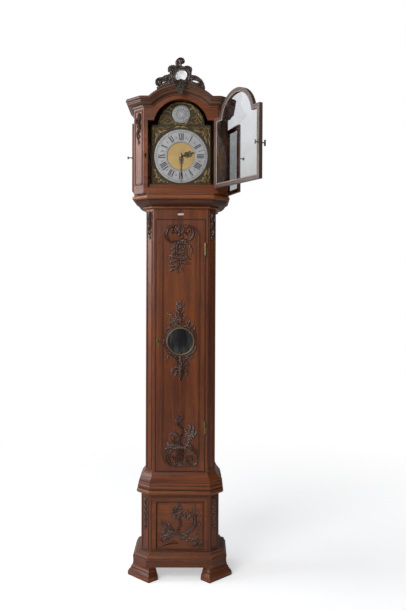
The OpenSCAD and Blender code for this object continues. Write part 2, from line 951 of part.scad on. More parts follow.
module pendulum_rod() {
    color(STEEL)
        difference() {
            union() {
                rod_y(0, pivot_z, 6, rod_y0 - eye_half, rod_y0 + eye_half);
                rod_z(0, rod_y0, rod_r, bob_z - bob_r - 22, pivot_z - 4);
                rod_z(0, rod_y0, 9, bob_z - bob_r - 10, bob_z - bob_r - gap);
            }
            rod_y(0, pivot_z, pin_r + run, rod_y0 - 9, rod_y0 + 9);
        }
}

module pendulum_bob() {
    lens = (bob_r * bob_r + bob_t * bob_t / 4) / bob_t;
    color(BRASS)
        difference() {
            translate([0, rod_y0, bob_z])
                rotate([90, 0, 0])
                    rotate_extrude()
                        intersection() {
                            translate([0, lens - bob_t / 2])
                                circle(lens, $fn = 360);
                            translate([0, bob_t / 2 - lens])
                                circle(lens, $fn = 360);
                            translate([0, -bob_t])
                                square([bob_r, 2 * bob_t]);
                        }
            rod_z(0, rod_y0, rod_r + run, bob_z - bob_r - 5, bob_z + bob_r + 5);
        }
}

pulley_r = great_x - sprocket_r;
pulley_z = seat_z - weight_drop;
loop_z = seat_z - loop_drop;
loop_r = great_x + sprocket_r;
// The slack loop hangs behind the weight's path by this much
loop_back = 36;

module drive_weight() {
    top = pulley_z - 34;
    color(BRASS) {
        rod_z(0, chain_y, weight_r, top - weight_h, top);
        rod_z(0, chain_y, 4, top - 1, top + 14);
        // stirrup and pulley
        box([-5, chain_y - 7, pulley_z - 22], [5, chain_y + 7, pulley_z - 18]);
        for (y = [-7, 5])
            box([-5, chain_y + y, pulley_z - 22], [5, chain_y + y + 2, pulley_z + 5]);
        translate([0, chain_y, pulley_z])
            rotate([90, 0, 0]) {
                rotate_extrude()
                    polygon([[0, -4.5], [pulley_r + 2, -4.5], [pulley_r + 2, -3.4],
                        [pulley_r - 2, -2.2], [pulley_r - 2, 2.2], [pulley_r + 2, 3.4],
                        [pulley_r + 2, 4.5], [0, 4.5]]);
                translate([0, 0, -8])
                    cylinder(r = 2, h = 16);
            }
    }
}

module weight_chain() {
    color(BRASS)
        for (x = [-pulley_r, pulley_r])
            rod_z(x, chain_y, chain_r, pulley_z, great_z);
}

module ring_chain() {
    color(BRASS)
        for (x = [-loop_r, loop_r])
            rod_z(x, chain_y, chain_r, loop_z, great_z);
}

ring_r = 5;
ring_wire = 2.5;

module chain_ring() {
    tilt = asin(loop_back / loop_r);
    drop = loop_r * cos(tilt);
    color(BRASS)
        intersection() {
            translate([0, chain_y, loop_z])
                rotate([90 + tilt, 0, 0])
                    rotate_extrude()
                        translate([loop_r, 0])
                            circle(chain_r, $fn = 32);
            box([-loop_r - 9, chain_y - 9, loop_z - loop_r - 9],
                [loop_r + 9, chain_y + loop_back + 9, loop_z - seam]);
        }
    color(STEEL)
        translate([0, chain_y + loop_back, loop_z - drop - ring_r + ring_wire + chain_r - 1.2])
            rotate([0, 90, 0])
                rotate_extrude()
                    translate([ring_r, 0])
                        circle(ring_wire, $fn = 32);
}

// Hood

// Gap between the hood's side and its closed side door, and between its front and front door
side_gap = 0.8;
front_gap = 1.5;
// Side openings, which the side doors overlap
side_lap = 12;
side_y1 = back_y - 25;
side_y0 = side_y1 - side_w;
side_z0 = sill_top - 4;
side_z1 = sill_top + mask_shoulder + side_up;

module hood_frame() {
    h = hood_half;
    color(WOOD) {
        for (side = [1, 3])
            case_board(h, hood_cant, hood_y, board, side, sill_top, frame_top);
        for (s = [0, 1])
            mirror([s, 0, 0]) {
                // front stile of the side
                intersection() {
                    case_board(h, hood_cant, hood_y, board, 4, sill_top, frame_top);
                    box([0, hood_y, 0], [h, side_y0 + side_lap, frame_top]);
                }
                // rear stile
                box([h - board, side_y1 - side_lap, sill_top], [h, back_y, frame_top]);
                // top rail
                box([h - board, side_y0 + side_lap + seam, side_z1 - side_lap],
                    [h, side_y1 - side_lap - seam, frame_top]);
            }
        // dust board
        top = plan(h, hood_cant, hood_y, 0);
        translate([0, 0, frame_top + seam])
            linear_extrude(8)
                polygon([top[0], top[1], [top[2][0] - board - gap, hood_y + board + gap],
                    [top[3][0] + board + gap, hood_y + board + gap], top[4], top[5]]);
    }
}

cornice_z = frame_top - cornice_h + 4;
cornice_top = cornice_z + cornice_h;
arch_r = (arch_half * arch_half + arch_rise * arch_rise) / (2 * arch_rise);
arch_z = cornice_top + arch_rise - arch_r;
mask_arch_z = sill_top + mask_shoulder - arch_down;

module mask_opening(grow) {
    translate([-mask_half - grow, sill_top - grow])
        square([2 * (mask_half + grow), mask_shoulder + 2 * grow]);
    translate([0, mask_arch_z])
        circle(mask_r + grow);
}

// Room for the latch's tongue as the door swings shut
tongue_gap = 1.5;
// Place of the front door's latch when the door is shut
latch_x = -(hood_half - hood_cant - rail / 2);
latch_z = sill_top + mask_shoulder / 2 - 8.5;
tongue_l = 18;
tongue_w = 5;
tongue_t = 3;
latch_reach = 15;
fillet = 8;

module hood_mask() {
    color(WOOD)
        difference() {
            union() {
                case_board(hood_half, hood_cant, hood_y, board, 2, sill_top, frame_top);
                facing(hood_y + board, board)
                    intersection() {
                        translate([0, arch_z])
                            circle(arch_r - 6);
                        translate([-arch_half + 6, frame_top - 1])
                            square([2 * arch_half - 12, arch_rise + 20]);
                    }
            }
            facing(back_y, hood_d + 10)
                mask_opening(0);
            // mortise for the latch
            box([latch_x - tongue_w / 2 - tongue_gap, hood_y - 1,
                latch_z - tongue_l / 2 - tongue_gap],
                [latch_x + tongue_w / 2 + tongue_gap, hood_y + board + 1,
                latch_z + tongue_l / 2 + tongue_gap]);
            rod_y(latch_x, latch_z, tongue_l / 2 + tongue_gap + 0.5,
                hood_y + latch_reach - front_gap - tongue_t - 1, hood_y + board + 1);
        }
    // fillet behind the foot of the opening
    color(WOOD)
        box([-mask_half - fillet, hood_y + board, sill_top], [mask_half + fillet,
            hood_y + board + fillet, sill_top + dial_low - 4]);
}

module hood_sill() {
    color(WOOD)
        for (side = [0:4])
            case_board(hood_half, hood_cant, hood_y, sill_t, side, hood_z, sill_top - seam);
}

CORNICE_PROFILE = concat([[gap, 0], [0.14 * cornice_p, 0], [0.18 * cornice_p, 0.12 * cornice_h]],
    arc(0.2 * cornice_p, 0.62 * cornice_h, 0.5 * cornice_p, -90, -10, 6),
    [[0.8 * cornice_p, 0.56 * cornice_h], [0.84 * cornice_p, 0.66 * cornice_h]],
    arc(0.84 * cornice_p, 0.82 * cornice_h, 0.16 * cornice_p, -80, 80, 5),
    [[0.9 * cornice_p, cornice_h], [gap, cornice_h]]);

// The profile's height counts down from the moulding's top edge along the arch
function cornice_stations() =
    let (a = plan(hood_half, hood_cant, hood_y, 0), z = cornice_z,
        lift = asin(arch_half / arch_r), steps = 16,
        knee = [tan(lift / 2), 0, 1],
        foot = [for (s = [-1, 1]) [s * (arch_half + 0), hood_y, cornice_top]])
    concat(
        [for (i = [0:2]) [[a[i][0], a[i][1], z], MITRES[i], [0, 0, 1]]],
        [for (i = [0:steps])
            let (t = -lift + 2 * lift * i / steps,
                up = i == 0 ? [-tan(lift / 2), 0, 1] : i == steps ? [tan(lift / 2), 0, 1]
                    : [sin(t), 0, cos(t)],
                top = [arch_r * sin(t), hood_y, arch_z + arch_r * cos(t)])
            [top - cornice_h * up, [0, -1, 0], up]],
        [for (i = [3:5]) [[a[i][0], a[i][1], z], MITRES[i], [0, 0, 1]]]);

module hood_cornice() {
    color(WOOD)
        sweep(cornice_stations(), CORNICE_PROFILE);
}

crest_y = hood_y - cornice_p + 4;
crest_t = 22;
crest_z = arch_z + arch_r;

// Outline of the crest, counted from the top of the cornice's arch, in the crest's own scale
CREST_LINE = concat([[-60, -30], [-78, -26]], arc(-94, 0, 22, -100, -290, 8), arc(-66, 26, 16, 200, 110, 4),
    arc(-36, 62, 22, 190, 80, 5), [[-22, 82], [-20, 90]], arc(0, 102, 19, 205, -30, 10),
    [[14, 84], [20, 78]], arc(34, 58, 20, 110, 0, 5), [[60, 42]], arc(68, 20, 18, 100, 20, 4),
    arc(88, -4, 20, 60, -80, 6), [[76, -20], [60, -30]]);

module crest() {
    s = crest_h / 120;
    color(DARK) {
        facing(crest_y + crest_t, crest_t)
            difference() {
                translate([0, crest_z])
                    polygon(CREST_LINE * s);
                translate([0, arch_z])
                    circle(arch_r + gap);
                translate([0, crest_z + mirror_z])
                    circle(mirror_r);
                for (q = [[-70, 2, 9], [64, 0, 8]])
                    translate([q[0] * s, crest_z + q[1] * s])
                        circle(q[2] * s);
            }
        // leaf that hangs over the front of the cornice
        facing(hood_y - cornice_p - gap, 7)
            translate([0, crest_z - 8 * s])
                leaf(92 * s, 44 * s);
        box([-12 * s, hood_y - cornice_p - gap - 5, crest_z + 2],
            [12 * s, crest_y + 3, crest_z + 20 * s]);
    }
}

mirror_z = 37;

module crest_mirror() {
    color("#dcdce4")
        facing(crest_y + crest_t - 4, 3)
            translate([0, crest_z + mirror_z])
                circle(mirror_r - gap);
}

// Distance of a hood door's pivot from the edges of the door
pin_in = 4.5;
// Pivot of the front door, and the strap plates that carry its pins
front_x = hood_half - hood_cant - pin_in;
front_y = hood_y - front_gap - front_t + pin_in + 0.5;
front_z0 = sill_top - 6;
front_z1 = sill_top + mask_shoulder + 2;
door_pin_r = 2;
door_pin_l = 12;
strap_t = 3;
// Pivot of the right side door; the left one is its mirror image
side_x = hood_half + side_gap + side_t * 0.56;
side_pivot_y = side_y1 - 2.5;

module hood_hinges() {
    color(BRASS) {
        for (q = [[front_z0 - strap_t - gap, front_z0, 1], [front_z1 + gap, front_z1, -1]]) {
            box([front_x - 8, front_y - 4, q[0]], [front_x + 4, hood_y, q[0] + strap_t]);
            if (q[2] > 0)
                rod_z(front_x, front_y, door_pin_r, q[0] + 1, q[1] + door_pin_l);
            else
                rod_z(front_x, front_y, door_pin_r, q[1] - door_pin_l, q[0] + 1);
        }
        for (s = [0, 1])
            mirror([s, 0, 0])
                for (q = [[side_z0 - strap_t - gap, side_z0, 1], [side_z1 + gap, side_z1, -1]]) {
                    box([hood_half, side_pivot_y - 5, q[0]],
                        [side_x + 4, side_pivot_y + 5, q[0] + strap_t]);
                    if (q[2] > 0)
                        rod_z(side_x, side_pivot_y, door_pin_r, q[0] + 1, q[1] + door_pin_l);
                    else
                        rod_z(side_x, side_pivot_y, door_pin_r, q[1] - door_pin_l, q[0] + 1);
                }
    }
}

// Turns a shut front door about its pivot to where it stands open
module front_swing() {
    translate([front_x, front_y, 0])
        rotate([0, 0, front_open])
            translate([-front_x, -front_y, 0])
                children();
}

module front_outline(inset) {
    half = hood_half - hood_cant;
    translate([-half + inset, front_z0 + inset])
        square([2 * (half - inset), front_z1 - front_z0 - 2 * inset]);
    translate([0, mask_arch_z])
        circle(front_r - inset);
}

door_back = hood_y - front_gap;
// Width and depth of the rebate that holds a pane
pane_lap = 5;
pane_depth = 5;

module hood_door() {
    color(WOOD)
        front_swing()
            difference() {
                facing(door_back, front_t)
                    front_outline(0);
                facing(door_back + 1, front_t + 2)
                    front_outline(rail);
                facing(door_back + 1, pane_depth + 1)
                    front_outline(rail - pane_lap);
                rod_z(front_x, front_y, door_pin_r + run, front_z0 - 1, front_z0 + door_pin_l + 1);
                rod_z(front_x, front_y, door_pin_r + run, front_z1 - door_pin_l - 1, front_z1 + 1);
                rod_y(latch_x, latch_z, spindle_r + run, door_back - front_t - 1, door_back + 1);
            }
}

module hood_door_glass() {
    color("#d8dde2", 0.4)
        front_swing()
            facing(door_back - pane_depth + glass_t, glass_t)
                front_outline(rail - pane_lap + gap);
}

spindle_r = 2.5;

module hood_door_latch() {
    front = door_back - front_t;
    color(BRASS)
        front_swing() {
            rod_y(latch_x, latch_z, spindle_r, front - 18, door_back + latch_reach);
            rod_y(latch_x, latch_z, 5, front - 3, front - gap);
            // wing of the knob
            box([latch_x - 3, front - 23, latch_z - 13], [latch_x + 3, front - 17, latch_z + 13]);
            // tongue behind the door
            box([latch_x - tongue_w / 2, door_back + latch_reach - tongue_t, latch_z - tongue_l / 2],
                [latch_x + tongue_w / 2, door_back + latch_reach, latch_z + tongue_l / 2]);
        }
}

module side_swing(a) {
    translate([side_x, side_pivot_y, 0])
        rotate([0, 0, a])
            translate([-side_x, -side_pivot_y, 0])
                children();
}

// A side door, drawn shut on the right side
module side_door() {
    x0 = hood_half + side_gap;
    difference() {
        box([x0, side_y0, side_z0], [x0 + side_t, side_y1, side_z1]);
        box([x0 - 1, side_y0 + rail, side_z0 + rail],
            [x0 + side_t + 1, side_y1 - rail, side_z1 - rail]);
        box([x0 - 1, side_y0 + rail - pane_lap, side_z0 + rail - pane_lap],
            [x0 + pane_depth, side_y1 - rail + pane_lap, side_z1 - rail + pane_lap]);
        rod_z(side_x, side_pivot_y, door_pin_r + run, side_z0 - 1, side_z0 + door_pin_l + 1);
        rod_z(side_x, side_pivot_y, door_pin_r + run, side_z1 - door_pin_l - 1, side_z1 + 1);
    }
}

module side_glass() {
    x0 = hood_half + side_gap + pane_depth;
    e = rail - pane_lap + gap;
    box([x0 - glass_t, side_y0 + e, side_z0 + e], [x0, side_y1 - e, side_z1 - e]);
}

knob_z = (side_z0 + side_z1) / 2;

module side_knob() {
    translate([hood_half + side_gap + side_t, side_y0 + rail / 2, knob_z])
        rotate([0, 90, 0]) {
            cylinder(r = 5, h = 2);
            cylinder(r = 2.5, h = 18);
            translate([0, 0, 17])
                cylinder(r = 6.5, h = 6);
        }
}

module left_door() {
    color(WOOD)
        mirror([1, 0, 0])
            side_door();
}

module left_door_glass() {
    color("#d8dde2", 0.4)
        mirror([1, 0, 0])
            side_glass();
}

module left_door_knob() {
    color(BRASS)
        mirror([1, 0, 0])
            side_knob();
}

module right_door() {
    color(WOOD)
        side_swing(side_open)
            side_door();
}

module right_door_glass() {
    color("#d8dde2", 0.4)
        side_swing(side_open)
            side_glass();
}

module right_door_knob() {
    color(BRASS)
        side_swing(side_open)
            side_knob();
}

// Trunk door

lock_x = -106;
lock_z = lens_z;
keyhole_r = 4;
key_r = 2;
lens_hole = lens_r + 4;

module rounded(half, z0, z1, r) {
    for (x = [-half + r, half - r])
        for (z = [z0 + r, z1 - r])
            translate([x, z])
                circle(r);
    translate([-half + r, z0])
        square([2 * (half - r), z1 - z0]);
    translate([-half, z0 + r])
        square([2 * half, z1 - z0 - 2 * r]);
}

module trunk_door() {
    z0 = door_z + field_end;
    z1 = door_top - field_end;
    color(WOOD)
        difference() {
            union() {
                box([-door_half, trunk_y, door_z], [door_half, trunk_y + door_t, door_top]);
                facing(trunk_y, 4)
                    difference() {
                        rounded(field_half, z0, z1, field_r);
                        rounded(field_half - field_band, z0 + field_band, z1 - field_band,
                            field_r - field_band);
                    }
            }
            rod_y(0, lens_z, lens_hole, trunk_y - 1, trunk_y + door_t + 1);
            rod_y(lock_x, lock_z, keyhole_r, trunk_y - 1, trunk_y + door_t + 1);
        }
}

// Middles of the carved groups at the head and foot of the door
carve_s = field_half / 92;
head_z = door_top - 142 * carve_s;
toe_z = door_z + 143 * carve_s;

module door_carving() {
    color(WOOD)
        facing(trunk_y, carve_t) {
            translate([0, head_z])
                scale([carve_s, carve_s]) {
                translate([26, 72])
                    scroll(32, 12, -120, 150, 10);
                translate([-38, 62])
                    scroll(28, 11, 10, 250, 9);
                translate([6, 20])
                    rotate(14)
                        leaf(120, 30);
                translate([-6, -64])
                    rotate(-8)
                        leaf(96, 34);
                translate([-22, -14])
                    rotate(24)
                        leaf(90, 22);
            }
            translate([0, lens_z]) {
                ring = lens_r + lens_ring;
                arc_band(ring + 1, ring + 9, 25, 155);
                arc_band(ring + 1, ring + 9, 205, 335);
                translate([-22, ring + 34])
                    rotate(-30)
                        leaf(88, 24);
                translate([8, ring + 66])
                    rotate(6)
                        leaf(96, 20);
                translate([50, ring + 12])
                    rotate(-60)
                        leaf(52, 18);
                translate([-20, -ring - 26])
                    rotate(30)
                        leaf(72, 20);
                translate([10, -ring - 66])
                    rotate(-6)
                        leaf(104, 22);
            }
            translate([0, toe_z])
                scale([carve_s, carve_s]) {
                translate([-40, -68])
                    scroll(30, 12, -60, 170, 10);
                translate([42, -64])
                    scroll(32, 12, 10, 240, 10);
                translate([0, -50])
                    leaf(90, 30);
                translate([-4, 10])
                    rotate(-16)
                        leaf(96, 22);
                translate([4, 68])
                    rotate(10)
                        leaf(92, 20);
                translate([40, 40])
                    rotate(-40)
                        leaf(56, 18);
            }
        }
}

lens_proud = 7;

module lenticle_ring() {
    color(BRASS)
        translate([0, trunk_y, lens_z])
            rotate([90, 0, 0])
                rotate_extrude()
                    polygon([[lens_r, 0], [lens_r + lens_ring, 0],
                        [lens_r + lens_ring, 0.4 * lens_proud],
                        [lens_r + 0.7 * lens_ring, 0.8 * lens_proud],
                        [lens_r + 0.4 * lens_ring, lens_proud],
                        [lens_r + 0.1 * lens_ring, 0.8 * lens_proud], [lens_r, 0.4 * lens_proud]]);
}

module lenticle_glass() {
    color("#30343a", 0.6)
        translate([0, trunk_y + glass_t, lens_z])
            rotate([90, 0, 0])
                cylinder(r = lens_hole - gap, h = glass_t);
}

lock_case_t = 12;
lock_wall = 2;
lock_bit_r = 9;
// Clearance round the turning key bit
bit_gap = 1;

module trunk_lock() {
    back = trunk_y + door_t;
    low = -key_r - bit_gap;
    color(BRASS) {
        // escutcheon
        facing(trunk_y, 1.5)
            difference() {
                translate([lock_x, lock_z])
                    leaf(54, 20);
                translate([lock_x, lock_z])
                    circle(keyhole_r);
            }
        // lock case, with the room in which the key's bit turns
        difference() {
            box([lock_x + low - lock_wall, back, lock_z - 28],
                [lock_x + 24, back + lock_case_t, lock_z + 28]);
            intersection() {
                rod_y(lock_x, lock_z, lock_bit_r + bit_gap, back - 1,
                    back + lock_case_t - lock_wall);
                box([lock_x + low, back - 1, lock_z + low],
                    [lock_x + 24, back + lock_case_t - lock_wall, lock_z + 28]);
            }
            rod_y(lock_x, lock_z, key_r + run, back, back + lock_case_t + 1);
        }
    }
}

module key() {
    back = trunk_y + door_t + lock_case_t;
    bow_y = trunk_y - 18;
    color(BRASS)
        translate([lock_x, 0, lock_z]) {
            rod_y(0, 0, key_r, bow_y + 6, back);
            box([-1, back - lock_wall - 7, 0], [1, back - lock_wall - 1, lock_bit_r]);
            rod_y(0, 0, 3.4, trunk_y - 6, trunk_y - 4);
            rotate([0, -50, 0])
                translate([0, bow_y, 0])
                    rotate([0, 90, 0])
                        rotate_extrude()
                            translate([8, 0])
                                circle(1.8, $fn = 32);
        }
}

// Barrel hinges at the door's right edge: pins and lower halves on the case
hinge_x = door_half + door_gap / 2;
hinge_y = trunk_y - barrel_r - gap;
// Distance of the hinges' feet from the door's lower and upper edges
hinge_low = 180;
hinge_high = 172;
hinge_zs = [door_z + hinge_low, door_top - hinge_high];
hinge_pin_r = 2;
leaf_l = 9;
leaf_t = 1.5;

module trunk_hinges() {
    color(BRASS)
        for (z = hinge_zs) {
            rod_z(hinge_x, hinge_y, barrel_r, z, z + barrel_h / 2);
            rod_z(hinge_x, hinge_y, hinge_pin_r, z, z + barrel_h - 4);
            box([hinge_x + 1, trunk_y - leaf_t, z + 2],
                [hinge_x + leaf_l, trunk_y, z + barrel_h / 2 - 2]);
            box([hinge_x + 1, hinge_y, z + 4], [hinge_x + 3, trunk_y, z + barrel_h / 2 - 4]);
        }
}

module trunk_door_knuckles() {
    color(BRASS)
        for (z = hinge_zs) {
            mid = z + barrel_h / 2 + gap;
            difference() {
                union() {
                    rod_z(hinge_x, hinge_y, barrel_r, mid, mid + barrel_h / 2);
                    box([hinge_x - 3, hinge_y, mid + 4],
                        [hinge_x - 1, trunk_y, mid + barrel_h / 2 - 4]);
                }
                rod_z(hinge_x, hinge_y, hinge_pin_r + run, mid - 1, z + barrel_h - 2);
            }
            box([hinge_x - leaf_l, trunk_y - leaf_t, mid + 2],
                [hinge_x - 1, trunk_y, mid + barrel_h / 2 - 2]);
        }
}

bracket_feet();
base_moulding();
plinth_sides();
plinth_frame();
plinth_panel();
plinth_carving();
waist_moulding();
trunk_sides();
trunk_frame();
backboard();
throat_moulding();
seatboard();
movement_frame();
dial_plate();
chapter_ring();
spandrels();
arch_boss();
bell();
suspension_cock();
minute_hand();
centre_wheel();
hour_hand();
hour_wheel();
minute_wheel();
going_great_wheel();
third_wheel();
escape_wheel();
anchor();
strike_great_wheel();
hammer();
pendulum_rod();
pendulum_bob();
drive_weight();
chain_ring();
weight_chain();
ring_chain();
hood_frame();
hood_mask();
hood_sill();
hood_cornice();
crest();
crest_mirror();
hood_hinges();
hood_door();
hood_door_glass();
hood_door_latch();
left_door();
left_door_glass();
left_door_knob();
right_door();
right_door_glass();
right_door_knob();
trunk_door();
door_carving();
lenticle_ring();
lenticle_glass();
trunk_lock();
key();
trunk_hinges();
trunk_door_knuckles();
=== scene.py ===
"""Old oak longcase clock with its hood door standing open. Lengths in the sections are millimetres."""
import math
import bpy
import mathutils
import numpy as np
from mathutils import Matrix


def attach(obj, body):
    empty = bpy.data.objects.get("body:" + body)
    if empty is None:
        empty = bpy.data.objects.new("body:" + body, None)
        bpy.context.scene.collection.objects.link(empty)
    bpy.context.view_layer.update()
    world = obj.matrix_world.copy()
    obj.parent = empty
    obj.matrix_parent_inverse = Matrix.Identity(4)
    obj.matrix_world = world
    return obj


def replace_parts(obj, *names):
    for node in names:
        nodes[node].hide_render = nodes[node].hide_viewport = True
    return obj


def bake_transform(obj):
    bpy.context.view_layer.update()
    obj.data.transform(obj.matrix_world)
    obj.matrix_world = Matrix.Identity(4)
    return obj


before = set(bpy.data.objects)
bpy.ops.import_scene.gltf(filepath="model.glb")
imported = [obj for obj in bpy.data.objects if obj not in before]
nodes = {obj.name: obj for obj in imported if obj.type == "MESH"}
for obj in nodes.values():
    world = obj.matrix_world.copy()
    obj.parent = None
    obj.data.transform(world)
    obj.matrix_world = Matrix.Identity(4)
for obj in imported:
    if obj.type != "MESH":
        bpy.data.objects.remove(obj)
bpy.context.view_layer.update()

# STAGE
# A camera at chest height, a little right of the clock's middle, a pale floor, a white surround and
# soft lamps: a tall one at the left, which the waxed corners mirror, the main one in front of it,
# and a weak one at the right.
eye = np.array([101.0, -3468.0, 1356.0])
lens_px, picture_px, film_mm = 706.6, 610, 36
yaw, pitch, roll = -0.00175, -0.01638, 0.003975
camera = bpy.data.objects.new("camera", bpy.data.cameras.new("camera"))
camera.data.lens = lens_px * film_mm / picture_px
camera.data.clip_end = 60
camera.location = eye / 1000
camera.rotation_mode = "XYZ"
look = np.array([-math.sin(yaw) * math.cos(pitch), math.cos(yaw) * math.cos(pitch), math.sin(pitch)])
side = np.array([math.cos(yaw), math.sin(yaw), 0.0])
rise = np.cross(side, look)
across = math.cos(roll) * side + math.sin(roll) * rise
upward = -math.sin(roll) * side + math.cos(roll) * rise
turn = mathutils.Matrix([list(across), list(upward), list(-look)]).transposed()
camera.rotation_euler = turn.to_euler()
bpy.context.scene.collection.objects.link(camera)
bpy.context.scene.camera = camera
bpy.context.scene.view_settings.view_transform = "Standard"


def feed(tree, ends, sockets):
    """Gives each named socket its value: a number, a colour, or another node's output."""
    for key, value in sockets.items():
        if isinstance(value, bpy.types.NodeSocket):
            tree.links.new(value, ends[key])
        else:
            ends[key].default_value = value


def place_node(tree, kind, sockets, **settings):
    """Adds one node with its settings and sockets."""
    node = tree.nodes.new("ShaderNode" + kind)
    for key, value in settings.items():
        setattr(node, key, value)
    feed(tree, node.inputs, sockets)
    return node


def figured(tree, how, *values, clamp=False):
    """The sum, product, largest and so on of the values."""
    return place_node(tree, "Math", dict(enumerate(values)), operation=how, use_clamp=clamp).outputs[0]


def ranged(tree, value, low, high, at_low, at_high):
    """A value's way from low to high, told as the same way from at_low to at_high, and held there beyond."""
    return place_node(tree, "MapRange", {0: value, 1: low, 2: high, 3: at_low, 4: at_high}).outputs[0]


def noise(tree, where, scale, detail, **more):
    """Cloudy noise from nought to one."""
    return place_node(tree, "TexNoise", {"Vector": where, "Scale": scale, "Detail": detail, **more}).outputs[0]


def ramp(tree, value, *stops):
    """Two colours, each with its spot, and the blend between them."""
    node = place_node(tree, "ValToRGB", {0: value})
    for element, (spot, colour) in zip(node.color_ramp.elements, stops):
        element.position, element.color = spot, (*colour, 1)
    return node.outputs[0]


def axis_of(tree, vector, axis):
    """One of a vector's three numbers."""
    return place_node(tree, "SeparateXYZ", {0: vector}).outputs[axis]


def new_finish(name):
    """A new material: itself, its tree, the inputs of its skin, and where a point lies."""
    finish = bpy.data.materials.new(name)
    finish.use_nodes = True
    tree = finish.node_tree
    return finish, tree, tree.nodes["Principled BSDF"].inputs, place_node(tree, "TexCoord", {}).outputs


def lamp(name, spot, aim, wide, tall, watts, colour):
    """A square soft lamp at spot, turned to face aim."""
    data = bpy.data.lights.new(name, "AREA")
    data.shape, data.size, data.size_y = "RECTANGLE", wide, tall
    data.energy, data.color = watts, colour
    obj = bpy.data.objects.new(name, data)
    obj.location = spot
    obj.rotation_euler = (mathutils.Vector(aim) - mathutils.Vector(spot)).to_track_quat("-Z", "Y").to_euler()
    bpy.context.scene.collection.objects.link(obj)


lamp("lamp_left", (-2.6, -0.15, 2.4), (0, 0, 1.8), 1.4, 1.9, 44, (0.93, 0.94, 1.0))
lamp("lamp_key", (-1.9, -3.2, 2.9), (0, 0, 1.2), 2.0, 2.0, 104, (1.0, 0.985, 0.97))
lamp("lamp_fill", (2.2, -2.8, 1.6), (0, 0, 1.1), 1.6, 2.2, 5, (0.97, 0.98, 1.0))

world = bpy.data.worlds.new("surround")
bpy.context.scene.world = world
world.use_nodes = True
tree = world.node_tree
tree.nodes.clear()
path = place_node(tree, "LightPath", {}).outputs
seen = figured(tree, "MAXIMUM", path["Is Camera Ray"], path["Is Transmission Ray"])
aimed = axis_of(tree, place_node(tree, "TexCoord", {}).outputs["Generated"], "X")
level = ranged(tree, aimed, -0.95, 0.15, 1.0, 0.10)
even = ranged(tree, aimed, -0.9, 0.9, 0.60, 0.12)
soft, shiny, plain = [
    place_node(tree, "Background", {"Color": colour, "Strength": power}).outputs[0]
    for colour, power in (((0.95, 0.97, 1.0, 1), even), ((1, 1, 1, 1), level), ((1, 1, 1, 1), 1.0))]
half = place_node(tree, "MixShader", {0: path["Is Glossy Ray"], 1: soft, 2: shiny})
full = place_node(tree, "MixShader", {0: seen, 1: half.outputs[0], 2: plain})
place_node(tree, "OutputWorld", {0: full.outputs[0]})

floor_mesh = bpy.data.meshes.new("floor")
floor_mesh.from_pydata([(-9, -9, 0), (9, -9, 0), (9, 9, 0), (-9, 9, 0)], [], [(0, 1, 2, 3)])
floor = bpy.data.objects.new("floor", floor_mesh)
bpy.context.scene.collection.objects.link(floor)
floor_finish, tree, skin, where = new_finish("floor")
tone = ramp(tree, noise(tree, where["Object"], 2.5, 3.0), (0, (0.74, 0.75, 0.76)), (1, (0.80, 0.805, 0.81)))
feed(tree, skin, {"Base Color": tone, "Roughness": 0.6})
lit = tree.nodes["Principled BSDF"].outputs[0]
away = place_node(tree, "VectorMath", {0: where["Object"]}, operation="LENGTH")
far = ranged(tree, away.outputs["Value"], 0.9, 3.2, 0.0, 1.0)
sheen, blank = [place_node(tree, "Emission", {"Color": (1, 1, 1, 1), "Strength": power}).outputs[0]
                for power in (ranged(tree, far, 0.0, 1.0, 0.46, 0.6), 1.0)]
bright = place_node(tree, "AddShader", {0: lit, 1: sheen})
merged = place_node(tree, "MixShader", {0: far, 1: bright.outputs[0], 2: blank})
path = place_node(tree, "LightPath", {}).outputs
shown = place_node(tree, "MixShader", {0: path["Is Camera Ray"], 1: lit, 2: merged.outputs[0]})
feed(tree, tree.nodes["Material Output"].inputs, {"Surface": shown.outputs[0]})
floor.data.materials.append(floor_finish)

# OAK BOARDS
# The case is joined from quarter-sawn oak boards, stained red-brown and waxed for two centuries: long dark pores,
# broad growth bands, pale ray flecks, dark patches, darker towards the floor, a dark joint round the door with a
# painted shadow in its gap, painted shade in hollows and grooves, and painted highlights with wear on edges.


def group(name, inputs, outputs):
    """Starts a shader node group with named sockets, and gives its tree, its inputs and its end."""
    tree = bpy.data.node_groups.new(name, "ShaderNodeTree")
    for label, kind, value in inputs:
        socket = tree.interface.new_socket(label, in_out="INPUT", socket_type="NodeSocket" + kind)
        if value is not None:
            socket.default_value = value
    for label, kind in outputs:
        tree.interface.new_socket(label, in_out="OUTPUT", socket_type="NodeSocket" + kind)
    start = tree.nodes.new("NodeGroupInput")
    end = tree.nodes.new("NodeGroupOutput")
    return tree, start.outputs, end.inputs


def placed(tree, where, scale=(1, 1, 1), turned=(0, 0, 0), moved=(0, 0, 0)):
    """The place with a scale, turn and move."""
    return place_node(tree, "Mapping", {"Vector": where, "Scale": scale, "Rotation": turned,
                                        "Location": moved}).outputs[0]


def mixed(tree, share, first, second):
    """The first colour where the share is nought and the second where it is one."""
    return place_node(tree, "Mix", {"Factor": share, 6: first, 7: second}, data_type="RGBA").outputs[2]


def own_mark(tree, name, output):
    """A piece's own mark at each point."""
    return place_node(tree, "Attribute", {}, attribute_name=name).outputs[output]


def bumped(tree, height, strength, deep):
    """The normal over small heights."""
    return place_node(tree, "Bump", {"Height": height, "Strength": strength, "Distance": deep}).outputs[0]


